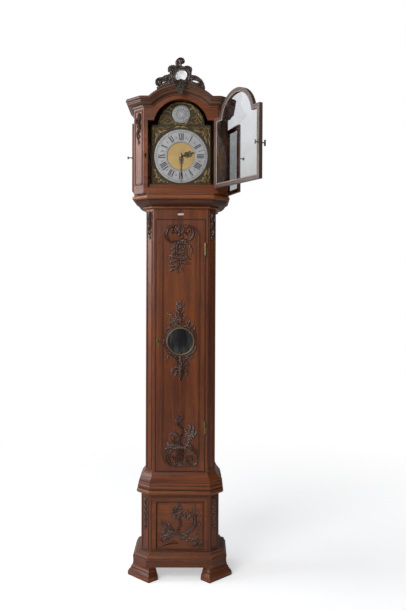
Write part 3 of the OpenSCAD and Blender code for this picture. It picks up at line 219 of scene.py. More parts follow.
tree, given, result = group("oak_grain", [
    ("Place", "Vector", None), ("Light", "Color", (0.30, 0.13, 0.06, 1)), ("Dark", "Color", (0.1, 0.035, 0.015, 1)),
    ("Figure", "Float", 1.0)], [("Color", "Color"), ("Height", "Float"), ("Roughness", "Float")])
bands = noise(tree, placed(tree, given["Place"], (1, 1, 0.07)), 38.0, 5.0, Roughness=0.6, Distortion=0.6)
pores = noise(tree, placed(tree, given["Place"], (1, 1, 0.035)), 420.0, 2.0)
flecks = noise(tree, placed(tree, given["Place"], (0.35, 0.35, 1.6), (0.25, 0.5, 0)), 95.0, 1.0, Distortion=1.2)
broad = noise(tree, placed(tree, given["Place"], (1, 1, 0.3)), 5.0, 3.0)
pore = ranged(tree, pores, 0.56, 0.68, 0.0, 1.0)
fleck = ranged(tree, flecks, 0.62, 0.72, 0.0, 0.35)
band = ranged(tree, bands, 0.28, 0.72, 0.0, 1.0)
share = figured(tree, "ADD", band, ranged(tree, broad, 0.3, 0.7, -0.25, 0.25), clamp=True)
shade = mixed(tree, share, given["Dark"], given["Light"])
bright = mixed(tree, fleck, shade, given["Light"])
pitted = mixed(tree, figured(tree, "MULTIPLY", pore, 0.6), bright, (0.02, 0.008, 0.004, 1))
depth = figured(tree, "SUBTRACT", figured(tree, "MULTIPLY", band, 0.25), pore)
dull = ranged(tree, broad, 0.2, 0.8, 0.24, 0.38)
feed(tree, result, {"Color": pitted, "Height": figured(tree, "MULTIPLY", depth, given["Figure"]),
                    "Roughness": figured(tree, "ADD", dull, figured(tree, "MULTIPLY", pore, 0.2))})

# Colour over the grain: dark patches, darker towards the floor, painted shade where the Hollow input is positive
# (hollows, coves, the door's gap), and a paler painted highlight with wear where it is negative; dust on upward faces.
tree, given, result = group("old_wax_and_painted_light", [
    ("Color", "Color", (0.2, 0.1, 0.05, 1)), ("Place", "Vector", None), ("Hollow", "Float", 0.0),
    ("Up", "Float", 0.0)], [("Color", "Color"), ("Roughness", "Float")])
patch = ranged(tree, noise(tree, given["Place"], 9.0, 6.0, Roughness=0.65), 0.35, 0.75, 0.0, 0.35)
low = ranged(tree, axis_of(tree, given["Place"], "Z"), 0.0, 0.45, 0.32, 0.0)
hollow = ranged(tree, given["Hollow"], 0.0, 1.0, 0.0, 0.88)
dirt_and_shade = figured(tree, "MAXIMUM", figured(tree, "MAXIMUM", patch, low), hollow, clamp=True)
dirty_and_shaded = mixed(tree, dirt_and_shade, given["Color"], (0.016, 0.006, 0.003, 1))
paler = place_node(tree, "VectorMath", {0: given["Color"], 1: (1.5, 1.8, 2.2), 2: (0.010, 0.006, 0.005)},
                   operation="MULTIPLY_ADD")
wear_and_painted_light = mixed(tree, ranged(tree, given["Hollow"], -0.8, -0.12, 0.75, 0.0), dirty_and_shaded, paler.outputs[0])
dusty = ranged(tree, given["Up"], 0.75, 1.0, 0.0, 0.35)
dust = figured(tree, "MULTIPLY", dusty, noise(tree, given["Place"], 60.0, 4.0))
feed(tree, result, {"Color": mixed(tree, dust, wear_and_painted_light, (0.30, 0.27, 0.23, 1)),
                    "Roughness": figured(tree, "ADD", ranged(tree, dirt_and_shade, 0.0, 1.0, 0.0, 0.22), dust)})


def oak(name, light, dark, grain="Z", carved=False, figure=1.0, shift=0.0, coat=0.12, joint=None):
    """Waxed oak whose grain runs along Z or X, or along the piece's own 'run' mark. Where a joint is given as half
    width, foot and head of an opening in metres, its edges are darker: a dark joint and a painted shadow in the gap."""
    finish, tree, skin, where = new_finish(name)
    if grain == "run":
        along = own_mark(tree, "run", "Vector")
    else:
        spin = (0, math.pi / 2, 0) if grain == "X" else (0, 0, 0)
        along = placed(tree, where["Object"], turned=spin, moved=(shift, shift * 0.7, shift))
    wood = place_node(tree, "Group", {"Place": along, "Light": (*light, 1), "Dark": (*dark, 1), "Figure": figure},
                      node_tree=bpy.data.node_groups["oak_grain"]).outputs
    wax_and_painted_light = place_node(tree, "Group", {"Color": wood["Color"], "Place": where["Object"],
                                     "Up": axis_of(tree, where["Normal"], "Z")},
                     node_tree=bpy.data.node_groups["old_wax_and_painted_light"])
    # A carved piece's own 'hollow' mark darkens its hollows as painted shade and pales its ridges as wear and a
    # painted highlight.
    if carved:
        feed(tree, wax_and_painted_light.inputs, {"Hollow": own_mark(tree, "hollow", "Fac")})
    # Along the opening's edges the oak is darker: a dark joint, and a painted shadow in the gap beside the door.
    if joint:
        half_wide, foot, head = joint
        over = figured(tree, "ABSOLUTE", axis_of(tree, where["Object"], "X"))
        over = figured(tree, "SUBTRACT", over, half_wide)
        past = figured(tree, "SUBTRACT", axis_of(tree, where["Object"], "Z"), (foot + head) / 2)
        past = figured(tree, "SUBTRACT", figured(tree, "ABSOLUTE", past), (head - foot) / 2)
        off = figured(tree, "ABSOLUTE", figured(tree, "MAXIMUM", over, past))
        feed(tree, wax_and_painted_light.inputs, {"Hollow": ranged(tree, off, 0.0015, 0.006, 1.0, 0.0)})
    feed(tree, skin, {"Base Color": wax_and_painted_light.outputs["Color"],
                      "Roughness": figured(tree, "ADD", wood["Roughness"], wax_and_painted_light.outputs["Roughness"]),
                      "Normal": bumped(tree, wood["Height"], 0.5, 0.0003), "Coat Weight": coat,
                      "Coat Roughness": 0.16, "Specular IOR Level": 0.34})
    return finish


OAK_LIGHT, OAK_DARK = (0.218, 0.054, 0.0080), (0.084, 0.0155, 0.0030)
oak_up = oak("oak_upright", OAK_LIGHT, OAK_DARK)
oak_across = oak("oak_across", OAK_LIGHT, OAK_DARK, "X", shift=0.31)
oak_inside = oak("oak_inside", (0.16, 0.075, 0.038), (0.05, 0.022, 0.012), figure=1.6, coat=0.0)


def wear(names, finish):
    """Gives CAD nodes a finish in all their slots."""
    for name in names.split():
        slots = nodes[name].data.materials
        if not slots:
            slots.append(finish)
        for i in range(len(slots)):
            slots[i] = finish


wear("plinth_sides trunk_sides hood_frame left_door right_door", oak_up)
door_gap = (0.1178, 0.505, 1.7065)
wear("trunk_frame trunk_door", oak("oak_door_front", OAK_LIGHT, OAK_DARK, joint=door_gap))
# The hood door's frame is painted greyer than the case: a painted reflection of the pale room on its wax.
wear("hood_door", oak("oak_grey_painted_reflection", (0.115, 0.072, 0.055), (0.048, 0.030, 0.023), shift=0.4, coat=0.3))
wear("plinth_frame plinth_panel hood_mask hood_sill", oak_across)
wear("backboard seatboard", oak_inside)

# FEET
# Four ogee bracket feet of solid oak, set square to the canted corners. Each is one block whose
# face swells to a toe, with a small bead cut round it, and they are pinned under the base.


def piece(name, points, faces, finish, body, slot, bend=35, **marks):
    """Makes one mesh from an array of points in millimetres and lists of faces.
    If the volume summed over its triangles is negative, all faces are turned to point outwards. A piece given no body
    is left unattached."""
    points = np.asarray(points, float)
    fan = [np.asarray(f).reshape(-1, np.shape(f)[-1]) for f in faces]
    volume = 0.0
    for f in fan:
        for k in range(1, f.shape[1] - 1):
            volume += np.einsum("ij,ij->i", points[f[:, 0]], np.cross(points[f[:, k]], points[f[:, k + 1]])).sum()
    loops, starts, count = [], [], 0
    for f in fan:
        if volume < 0:
            f = f[:, ::-1]
        loops.append(f.ravel())
        starts.append(count + np.arange(len(f)) * f.shape[1])
        count += f.size
    mesh = bpy.data.meshes.new(name)
    loops, starts = np.concatenate(loops), np.concatenate(starts)
    mesh.vertices.add(len(points))
    mesh.vertices.foreach_set("co", (points / 1000).ravel())
    mesh.loops.add(len(loops))
    mesh.loops.foreach_set("vertex_index", loops.astype(np.int32))
    mesh.polygons.add(len(starts))
    mesh.polygons.foreach_set("loop_start", starts.astype(np.int32))
    mesh.update(calc_edges=True)
    mesh.polygons.foreach_set("use_smooth", np.ones(len(starts), bool))
    mesh.set_sharp_from_angle(angle=math.radians(bend))
    for key, values in marks.items():
        values = np.asarray(values, float)
        kind = "FLOAT" if values.ndim == 1 else "FLOAT_VECTOR"
        layer = mesh.attributes.new(key, kind, "POINT")
        layer.data.foreach_set("value" if values.ndim == 1 else "vector", values.ravel())
    mesh.materials.append(finish)
    obj = bpy.data.objects.new(name, mesh)
    bpy.context.scene.collection.objects.link(obj)
    if body:
        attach(obj, body)
    return obj


def ease(x, xs, ys):
    """Smooth curve through the points (xs, ys): a cubic with each point's slope taken from its neighbours."""
    xs, ys = np.asarray(xs, float), np.asarray(ys, float)
    slope = np.gradient(ys, xs)
    i = np.clip(np.searchsorted(xs, x) - 1, 0, len(xs) - 2)
    h = xs[i + 1] - xs[i]
    t = (x - xs[i]) / h
    return ((2 * t**3 - 3 * t**2 + 1) * ys[i] + (t**3 - 2 * t**2 + t) * h * slope[i]
            + (3 * t**2 - 2 * t**3) * ys[i + 1] + (t**3 - t**2) * h * slope[i + 1])


foot_high, foot_flare, foot_rows, foot_sides = 64.0, 18.0, 65, 8


def foot_block(middle, angle, wide, deep, left, right):
    """Rings of a foot, one per height: the inset of its face and ends follows an ogee, with a bead near the top."""
    z = np.linspace(0, foot_high, foot_rows)
    inset = foot_flare * ease(z / foot_high, [0, 0.05, 0.2, 0.36, 0.52, 0.68, 0.84, 1],
                              [0.10, 0.0, 0.0, 0.12, 0.42, 0.72, 0.92, 1.0])
    inset = inset - 2.2 * np.exp(-((z - 44) / 3.2) ** 2) + 1.5 * np.exp(-((z - 38) / 1.8) ** 2)
    inset = np.clip(inset, 0, None)
    soft = 2.0
    x0, x1, y0, y1 = -wide / 2 + inset * left, wide / 2 - inset * right, inset, np.full_like(z, deep)
    ring = np.stack([
        np.stack([x0, y0 + soft], 1), np.stack([x0 + 0.3 * soft, y0 + 0.3 * soft], 1), np.stack([x0 + soft, y0], 1),
        np.stack([x1 - soft, y0], 1), np.stack([x1 - 0.3 * soft, y0 + 0.3 * soft], 1), np.stack([x1, y0 + soft], 1),
        np.stack([x1, y1], 1), np.stack([x0, y1], 1)], 1)
    c, s = math.cos(math.radians(angle)), math.sin(math.radians(angle))
    flat = ring @ np.array([[c, s], [-s, c]]) + np.asarray(middle)
    return np.concatenate([flat, np.repeat(z[:, None, None], foot_sides, 1)], 2), ring[:, :, 0]


def walls(rows, across, closed_rows=False, base=0):
    """Quads between neighbouring rows of a grid of points, each row closed in itself."""
    i = np.arange(rows if closed_rows else rows - 1)[:, None]
    j = np.arange(across)[None, :]
    i2, j2 = (i + 1) % rows, (j + 1) % across
    return np.stack([i * across + j, i * across + j2, i2 * across + j2, i2 * across + j], -1).reshape(-1, 4) + base


toe_mid = np.array([197.234, -135.234])
feet, feet_run, faces_q, faces_e = [], [], [], []
for mirrored in (1, -1):
    for middle, angle, wide, deep, left, right in (
            (toe_mid, 45, 154, 60, 1, 1), (np.array([225.0, 80.0]), 90, 90, 60, 1, 0)):
        block, run = foot_block(middle, angle, wide, deep, left, right)
        block = block * [mirrored, 1, 1]
        base = foot_rows * foot_sides * len(feet)
        grid = walls(foot_rows, foot_sides, base=base)
        low_end = np.arange(foot_sides) + base
        ends = np.array([low_end[::-1], low_end + (foot_rows - 1) * foot_sides])
        faces_q.append(grid if mirrored > 0 else grid[:, ::-1])
        faces_e.append(ends if mirrored > 0 else ends[:, ::-1])
        feet.append(block.reshape(-1, 3))
        feet_run.append(np.stack([block[..., 2], block[..., 1] * 0.3, run + 200.0 * len(feet)], -1).reshape(-1, 3))
oak_run = oak("oak_moulding", OAK_LIGHT, OAK_DARK, "run", carved=True)
feet_points = np.concatenate(feet)
# Painted shade and highlight on the feet, by height: dark in the quirk at 38 and under the base at the top, pale on
# the bead and the toe.
feet_shade_and_highlight = np.interp(feet_points[:, 2], [0, 10, 34, 38, 42, 46, 60, 64], [0.3, -0.4, 0, 0.9, -0.3, -0.3, 0.3, 0.8])
feet_piece = piece("moulded_feet", feet_points, [np.concatenate(faces_q), np.concatenate(faces_e)], oak_run,
                   "case", "oak", hollow=feet_shade_and_highlight, run=np.concatenate(feet_run) / 1000)
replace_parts(feet_piece, "bracket_feet")

# MOULDINGS
# Base, waist, throat and hood cornice mouldings: oak planed to a profile, cut in lengths, mitred
# at the canted corners and glued round the case. The cornice's front length is sawn to an arch.
# Each plan gives half the width, the corner's cant and the front's depth.
PLINTH, TRUNK, HOOD = (186, 44, -124), (167, 37, -105), (223, 49, -159)
mitre = math.tan(math.radians(22.5))
back = 125.0


def bow(x, z, rx, rz, start, stop, n=14):
    """Points of an elliptic stretch of a profile about (x, z), between two angles in degrees."""
    a = np.radians(np.linspace(start, stop, n))
    return np.stack([x + rx * np.cos(a), z + rz * np.sin(a)], 1)


def carried(stations, out, up, profile, closed=False):
    """Every point (a, b) of the profile is put at station + a * out + b * up, for all stations at once."""
    stations, out, up = (np.asarray(v, float) for v in (stations, out, up))
    points = (stations[:, None] + profile[None, :, :1] * out[:, None] + profile[None, :, 1:] * up[:, None])
    rows, across = points.shape[:2]
    faces = [walls(rows, across, closed_rows=closed)]
    if not closed:
        faces.append(np.array([np.arange(across)[::-1], np.arange(across) + (rows - 1) * across]))
    step = np.linalg.norm(np.diff(points.mean(1), axis=0), axis=1)
    length = np.concatenate([[0], np.cumsum(step)])
    girth = np.concatenate([[0], np.cumsum(np.linalg.norm(np.diff(profile, axis=0), axis=1))])
    run = np.stack([np.broadcast_to(girth, (rows, across)), np.broadcast_to(profile[:, 0], (rows, across)),
                    np.broadcast_to(length[:, None], (rows, across))], -1)
    return points.reshape(-1, 3), faces, run.reshape(-1, 3) / 1000


def hollows(profile):
    """How far each profile point lies inside the line between its neighbours a little way off: grooves come out
    positive, painted dark as shade on oak, and edges negative, painted paler as wear and highlight."""
    mean = sum(np.roll(profile, -k, 0) for k in (-3, -2, 2, 3)) / 4
    tangent = np.roll(profile, -1, 0) - np.roll(profile, 1, 0)
    normal = np.stack([tangent[:, 1], -tangent[:, 0]], 1)
    normal /= np.maximum(np.linalg.norm(normal, axis=1, keepdims=True), 1e-6)
    return np.clip(np.sum((mean - profile) * normal, 1) * 0.7, -0.6, 1)


def thicken(profile, gap=1.2):
    """Adds points along the straight stretches of a closed profile, about a gap apart."""
    out = []
    for a, b in zip(profile, np.roll(profile, -1, 0)):
        n = max(1, int(np.linalg.norm(b - a) / gap))
        out.append(a + (b - a) * (np.arange(n) / n)[:, None])
    return np.concatenate(out)


def corners(half, cant, front):
    """Plan of a canted case part, its six corners, and the way each corner moves as the outline grows."""
    spots = np.array([[-half, back], [-half, front + cant], [-half + cant, front],
                      [half - cant, front], [half, front + cant], [half, back]])
    ways = np.array([[-1, 0, 0], [-1, -mitre, 0], [-mitre, -1, 0], [mitre, -1, 0], [1, -mitre, 0], [1, 0, 0]])
    return spots, ways


def level_moulding(name, plan, z, profile, old, dark=None):
    """A profile mitred round the canted case. Between the two heights in dark, its cove is painted dark as shade."""
    spots, ways = corners(*plan)
    stations = np.column_stack([spots, np.full(6, z)])
    profile = thicken(profile)
    points, faces, run = carried(stations, ways, np.tile([0, 0, 1.0], (6, 1)), profile)
    hollow = hollows(profile)
    # The cove between the heights in dark is painted dark as shade under the bead.
    if dark:
        hollow = np.where((profile[:, 1] > dark[0]) & (profile[:, 1] < dark[1]), np.maximum(hollow, 0.72), hollow)
    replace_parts(piece(name, points, faces, oak_run, "case", "oak", bend=28, run=run, hollow=np.tile(hollow, 6)), old)


p, h = 39.0, 60.0
base_profile = np.concatenate([
    [[0.3, 0], [0.94 * p, 0], [0.96 * p, 0.02 * h], [0.96 * p, 0.45 * h]],
    bow(0.955 * p, 0.52 * h, 0.05 * p, 0.045 * h, -80, 80, 12), [[0.86 * p, 0.585 * h], [0.84 * p, 0.60 * h]],
    bow(0.5 * p, 0.64 * h, 0.37 * p, 0.19 * h, -8, 76, 18),
    bow(0.58 * p, 0.95 * h, 0.25 * p, 0.13 * h, -100, -170, 9),
    [[0.32 * p, 0.935 * h], [0.285 * p, 0.945 * h], [0.28 * p, h], [0.3, h]]])
level_moulding("base_ogee", PLINTH, 64, base_profile, "base_moulding")

p, h = 41.0, 106.0
upper = np.array([[0.65, 0.64], [0.60, 0.66], [0.49, 0.72], [0.38, 0.77], [0.26, 0.84], [0.17, 0.90], [0.1, 0.965]])
z = np.linspace(0.64, 0.965, 26)
upper = np.stack([ease(z, upper[:, 1], upper[:, 0]), z], 1)
waist_profile = np.concatenate([
    [[0.3, 0], [0.58 * p, 0]], bow(0.58 * p, 0.13 * h, 0.42 * p, 0.125 * h, -88, 62, 22), [[0.8 * p, 0.262 * h]],
    bow(0.80 * p, 0.335 * h, 0.085 * p, 0.062 * h, -80, 76, 12), [[0.8 * p, 0.41 * h], [0.765 * p, 0.425 * h]],
    bow(0.735 * p, 0.49 * h, 0.06 * p, 0.052 * h, -80, 80, 12), [[0.71 * p, 0.555 * h], [0.70 * p, 0.575 * h]],
    bow(0.665 * p, 0.605 * h, 0.05 * p, 0.026 * h, -80, 80, 8), upper * [p, h], [[0.06 * p, 0.97 * h], [0.06 * p, h],
    [0.3, h]]])
level_moulding("waist_ogee", TRUNK, 397, waist_profile, "waist_moulding")

p, h = 65.0, 66.5
throat_profile = np.concatenate([
    [[0.3, 0], [0.1 * p, 0]], bow(0.13 * p, 0.1 * h, 0.1 * p, 0.1 * p, -60, 60, 8),
    bow(0.2 * p, 0.78 * h, 0.62 * p, 0.62 * p, -90, -22, 24), [[0.84 * p, 0.56 * h]],
    bow(0.84 * p, 0.75 * h, 0.16 * p, 0.16 * p, -80, 80, 18), [[0.86 * p, 0.96 * h], [0.86 * p, h], [0.3, h]]])
level_moulding("throat_cove", TRUNK, 1757, throat_profile, "throat_moulding", (0.16 * h, 0.6 * h))

p, h = 38.0, 44.0
cornice_profile = thicken(np.concatenate([
    [[0.3, 0], [0.14 * p, 0], [0.18 * p, 0.12 * h]], bow(0.2 * p, 0.62 * h, 0.5 * p, 0.5 * p, -90, -10, 18),
    [[0.8 * p, 0.56 * h], [0.84 * p, 0.66 * h]], bow(0.84 * p, 0.82 * h, 0.16 * p, 0.16 * p, -80, 80, 16),
    [[0.9 * p, h], [0.3, h]]]))
spots, ways = corners(*HOOD)
arch_half, arch_r, arch_z, cornice_z = 148.0, 217.828, 2108.17, 2224.0
lift = math.asin(arch_half / arch_r)
angle = np.linspace(-lift, lift, 61)
up = np.stack([np.sin(angle), 0 * angle, np.cos(angle)], 1)
up[0], up[-1] = (-math.tan(lift / 2), 0, 1), (math.tan(lift / 2), 0, 1)
top = np.stack([arch_r * np.sin(angle), np.full(61, HOOD[2]), arch_z + arch_r * np.cos(angle)], 1)
stations = np.concatenate([np.column_stack([spots[:3], np.full(3, cornice_z)]), top - h * up,
                           np.column_stack([spots[3:], np.full(3, cornice_z)])])
points, faces, run = carried(stations, np.concatenate([ways[:3], np.tile([0, -1.0, 0], (61, 1)), ways[3:]]),
                             np.concatenate([np.tile([0, 0, 1.0], (3, 1)), up, np.tile([0, 0, 1.0], (3, 1))]),
                             cornice_profile)
oak_dark_run = oak("oak_cornice", (0.150, 0.052, 0.020), (0.050, 0.016, 0.007), "run", carved=True)
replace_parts(piece("arched_cornice", points, faces, oak_dark_run, "hood", "oak", bend=28, run=run,
                  hollow=np.tile(hollows(cornice_profile), len(stations))), "hood_cornice")

# BOTTOM BOARD
# A plain oak board closes the case under the plinth, let in between the base mouldings.
edge, nose, rear_y, wing_y, front_y = 167.7, 142.0, 106.7, -72.42, -105.7
spots = np.array([[-edge, rear_y], [-edge, wing_y], [-nose, front_y],
                  [nose, front_y], [edge, wing_y], [edge, rear_y]])
board = np.concatenate([np.column_stack([spots, np.full(6, z)]) for z in (64.0, 76.0)])
piece("bottom_board", board, [walls(2, 6), np.array([np.arange(6)[::-1], np.arange(6) + 6])], oak_inside, "case",
      "backing")

# CARVING
# Rococo scrolls, leaves and shells carved in low relief on the door, the plinth panel and the corners: cut from oak 11
# mm thick and glued down, with painted shade in the hollows and painted highlights on the ridges.


def ground(left, right, low, high, step):
    """A level field of heights over a rectangle, with the distance inside the carving's edge at each point."""
    x = np.arange(left, right + step / 2, step)
    z = np.arange(low, high + step / 2, step)
    X, Z = np.meshgrid(x, z, indexing="ij")
    return {"x": x, "z": z, "X": X, "Z": Z, "high": np.zeros_like(X), "edge": np.full_like(X, -9.0), "step": step}


def curve(line, n):
    """Even cubic through the points of a line, with each span's slopes taken from its neighbours."""
    line = np.asarray(line, float)
    q = np.concatenate([[2 * line[0] - line[1]], line, [2 * line[-1] - line[-2]]])
    u = np.linspace(0, len(line) - 1 - 1e-9, n)
    i, t = u.astype(int), (u % 1)[:, None]
    a, b, c, d = q[i], q[i + 1], q[i + 2], q[i + 3]
    return 0.5 * (2 * b + (c - a) * t + (2 * a - 5 * b + 4 * c - d) * t**2 + (3 * b - a - 3 * c + d) * t**3)


def stroke(field, line, wide, high, cut="scroll", lobes=7):
    """Carves one stroke: each point of the field finds the nearest point of the curve, which gives its share t of
    the way and its distance s as a share of the half width. A scroll is hollow between two rims, a leaf has a
    midrib, slanting ribs and lobed edges, a stem is round, a shell is fluted along its length."""
    n = max(60, 12 * len(line))
    path = curve(line, n)
    share = np.linspace(0, 1, n)
    widths = np.interp(share, np.linspace(0, 1, len(wide)), wide)
    highs = np.interp(share, np.linspace(0, 1, len(high)), high)
    reach = max(wide) + 2
    (x0, z0), (x1, z1) = path.min(0) - reach, path.max(0) + reach
    i0, i1 = np.searchsorted(field["x"], [x0, x1])
    j0, j1 = np.searchsorted(field["z"], [z0, z1])
    X, Z = field["X"][i0:i1, j0:j1], field["Z"][i0:i1, j0:j1]
    if X.size == 0:
        return
    gap = np.stack([X, Z], -1)[:, :, None] - path
    dist = np.linalg.norm(gap, axis=-1)
    k = dist.argmin(-1)
    d = np.take_along_axis(dist, k[..., None], -1)[..., 0]
    t, w, tall = share[k], widths[k], highs[k]
    tangent = np.gradient(path, axis=0)
    g = np.take_along_axis(gap, k[..., None, None], 2)[:, :, 0]
    sign = np.sign(tangent[k][..., 0] * g[..., 1] - tangent[k][..., 1] * g[..., 0])
    if cut == "leaf":
        w = w * (0.76 + 0.24 * np.abs(np.cos(math.pi * (lobes * t - 0.35 * d / np.maximum(w, 0.1)))) ** 0.7)
    s = np.clip(d / np.maximum(w, 0.05), 0, 1)
    fall = np.sqrt(np.clip(1 - np.clip((s - 0.74) / 0.26, 0, 1) ** 2, 0, 1))
    if cut == "scroll":
        section = (0.42 + 0.58 * np.clip(s / 0.7, 0, 1) ** 2) * fall
    elif cut == "leaf":
        vein = 0.30 * np.exp(-(s / 0.16) ** 2)
        ribs = 0.16 * np.cos(2 * math.pi * (lobes * t - 0.9 * s))
        section = (0.52 + 0.22 * s + vein + ribs * np.clip(s * 3, 0, 1)) * fall
    elif cut == "shell":
        flute = 0.2 * np.cos(math.pi * lobes * s * sign)
        section = (0.72 + flute) * fall
    elif cut == "wave":
        section = (0.6 + 0.4 * sign * s) * fall
    else:
        section = np.sqrt(np.clip(1 - s**2, 0, 1))
    old = field["high"][i0:i1, j0:j1]
    field["high"][i0:i1, j0:j1] = np.maximum(old, tall * section)
    field["edge"][i0:i1, j0:j1] = np.maximum(field["edge"][i0:i1, j0:j1], w - d)


def carve(field, cut, rows, flip=(1, 1), move=(0, 0)):
    """Strokes of one cut, a row each: all points of the line as x, z, then its half widths, then its heights, and
    for a leaf or shell the number of lobes. Every point is taken times flip, plus move."""
    for row in rows:
        n = len(row) // 4
        line = np.reshape(row[:2 * n], (n, 2)) * flip + move
        stroke(field, line, row[2 * n:3 * n], row[3 * n:4 * n], cut, *row[4 * n:])


def knobs(field, rows, flip=(1, 1), move=(0, 0)):
    """Round beads standing on the field, half an ellipse in section: a row each of x, z, radius and height."""
    for x, z, r, high in rows:
        d = np.hypot(field["X"] - (x * flip[0] + move[0]), field["Z"] - (z * flip[1] + move[1]))
        field["high"] = np.maximum(field["high"], high * np.sqrt(np.clip(1 - (d / r) ** 2, 0, 1)))
        field["edge"] = np.maximum(field["edge"], r - d)


def blurred(a, times):
    """Each pass averages a point with its four neighbours."""
    for _ in range(times):
        p = np.pad(a, 1, mode="edge")
        a = (a * 2 + p[2:, 1:-1] + p[:-2, 1:-1] + p[1:-1, 2:] + p[1:-1, :-2]) / 6
    return a


def relief(name, field, origin, finish, body, slot, sunk=0.5, back=1.0, soft=1, free=False, behind=None,
           right=(1.0, 0, 0), out=(0, -1.0, 0), up=(0, 0, 1.0)):
    """Turns a field into a closed solid: a front surface at its heights, a flat or shaped back, and walls round its
    edge. On a board the front starts a little under the surface; a free piece has its edge points moved on to
    the line where the distance inside the edge is nought."""
    high, edge = blurred(field["high"], soft), field["edge"]
    nx, nz = high.shape
    inside = edge > (0 if free else -0.6 * field["step"])
    four = [inside[:-1, :-1], inside[1:, :-1], inside[1:, 1:], inside[:-1, 1:]]
    cell = np.logical_and.reduce(four) if free else np.logical_or.reduce(four)
    cell[0], cell[-1], cell[:, 0], cell[:, -1] = False, False, False, False
    for _ in range(6):
        a, b, c, d = cell[:-1, :-1], cell[1:, 1:], cell[1:, :-1], cell[:-1, 1:]
        first, second = a & b & ~c & ~d, c & d & ~a & ~b
        if not (first.any() or second.any()):
            break
        cell[1:, :-1] |= first
        cell[:-1, :-1] |= second
    i, j = np.nonzero(cell)
    number = np.arange(nx * nz).reshape(nx, nz)
    quad = np.stack([number[i, j], number[i + 1, j], number[i + 1, j + 1], number[i, j + 1]], 1)
    used, index = np.unique(quad, return_inverse=True)
    quad = index.reshape(quad.shape)
    n = len(used)
    X, Z = field["X"].copy(), field["Z"].copy()
    if free:
        gx, gz = np.gradient(edge, field["step"])
        size = np.maximum(gx**2 + gz**2, 0.2)
        pad = np.pad(cell, 1)
        count = pad[1:, 1:].astype(int) + pad[:-1, 1:] + pad[1:, :-1] + pad[:-1, :-1]
        rim = (count > 0) & (count < 4)
        limit = 0.9 * field["step"]
        X -= np.where(rim, np.clip(edge * gx / size, -limit, limit), 0)
        Z -= np.where(rim, np.clip(edge * gz / size, -limit, limit), 0)
    flat = np.stack([X.ravel()[used], Z.ravel()[used]], 1)
    front = high.ravel()[used] - (0 if free else sunk)
    rear = np.full(n, -float(back)) if behind is None else -behind.ravel()[used]
    u, v, w = np.asarray(right, float), np.asarray(up, float), np.asarray(out, float)
    base = np.asarray(origin, float) + flat[:, :1] * u + flat[:, 1:] * v
    points = np.concatenate([base + front[:, None] * w, base + rear[:, None] * w])
    faces = [quad, quad[:, ::-1] + n]
    pad = np.pad(cell, 1)
    for near, (p, q) in (((1, 0), (0, 1)), ((2, 1), (1, 2)), ((1, 2), (2, 3)), ((0, 1), (3, 0))):
        bare = ~pad[near[0]:near[0] + nx - 1, near[1]:near[1] + nz - 1][i, j]
        a, b = quad[bare, p], quad[bare, q]
        faces.append(np.stack([a + n, b + n, b, a], 1))
    # The hollow mark paints shade in the hollows and on the low ground round the carving, and a paler highlight with
    # wear on its ridges; on cast brass it gives patina.
    dent = (blurred(high, 6) - high) / max(high.max(), 1) * 7
    shade = np.clip(dent + 0.75 * np.exp(-np.maximum(high, 0) / (0.16 * high.max() + 0.01)), -0.8, 1).ravel()[used]
    return piece(name, points, [np.concatenate(faces)], finish, body, slot, bend=50,
                 hollow=np.concatenate([shade, shade]))


oak_carved = oak("oak_carved", (0.100, 0.029, 0.010), (0.042, 0.012, 0.005), carved=True, figure=0.5, coat=0.9)
door_y, panel_y = -105.0, -118.0
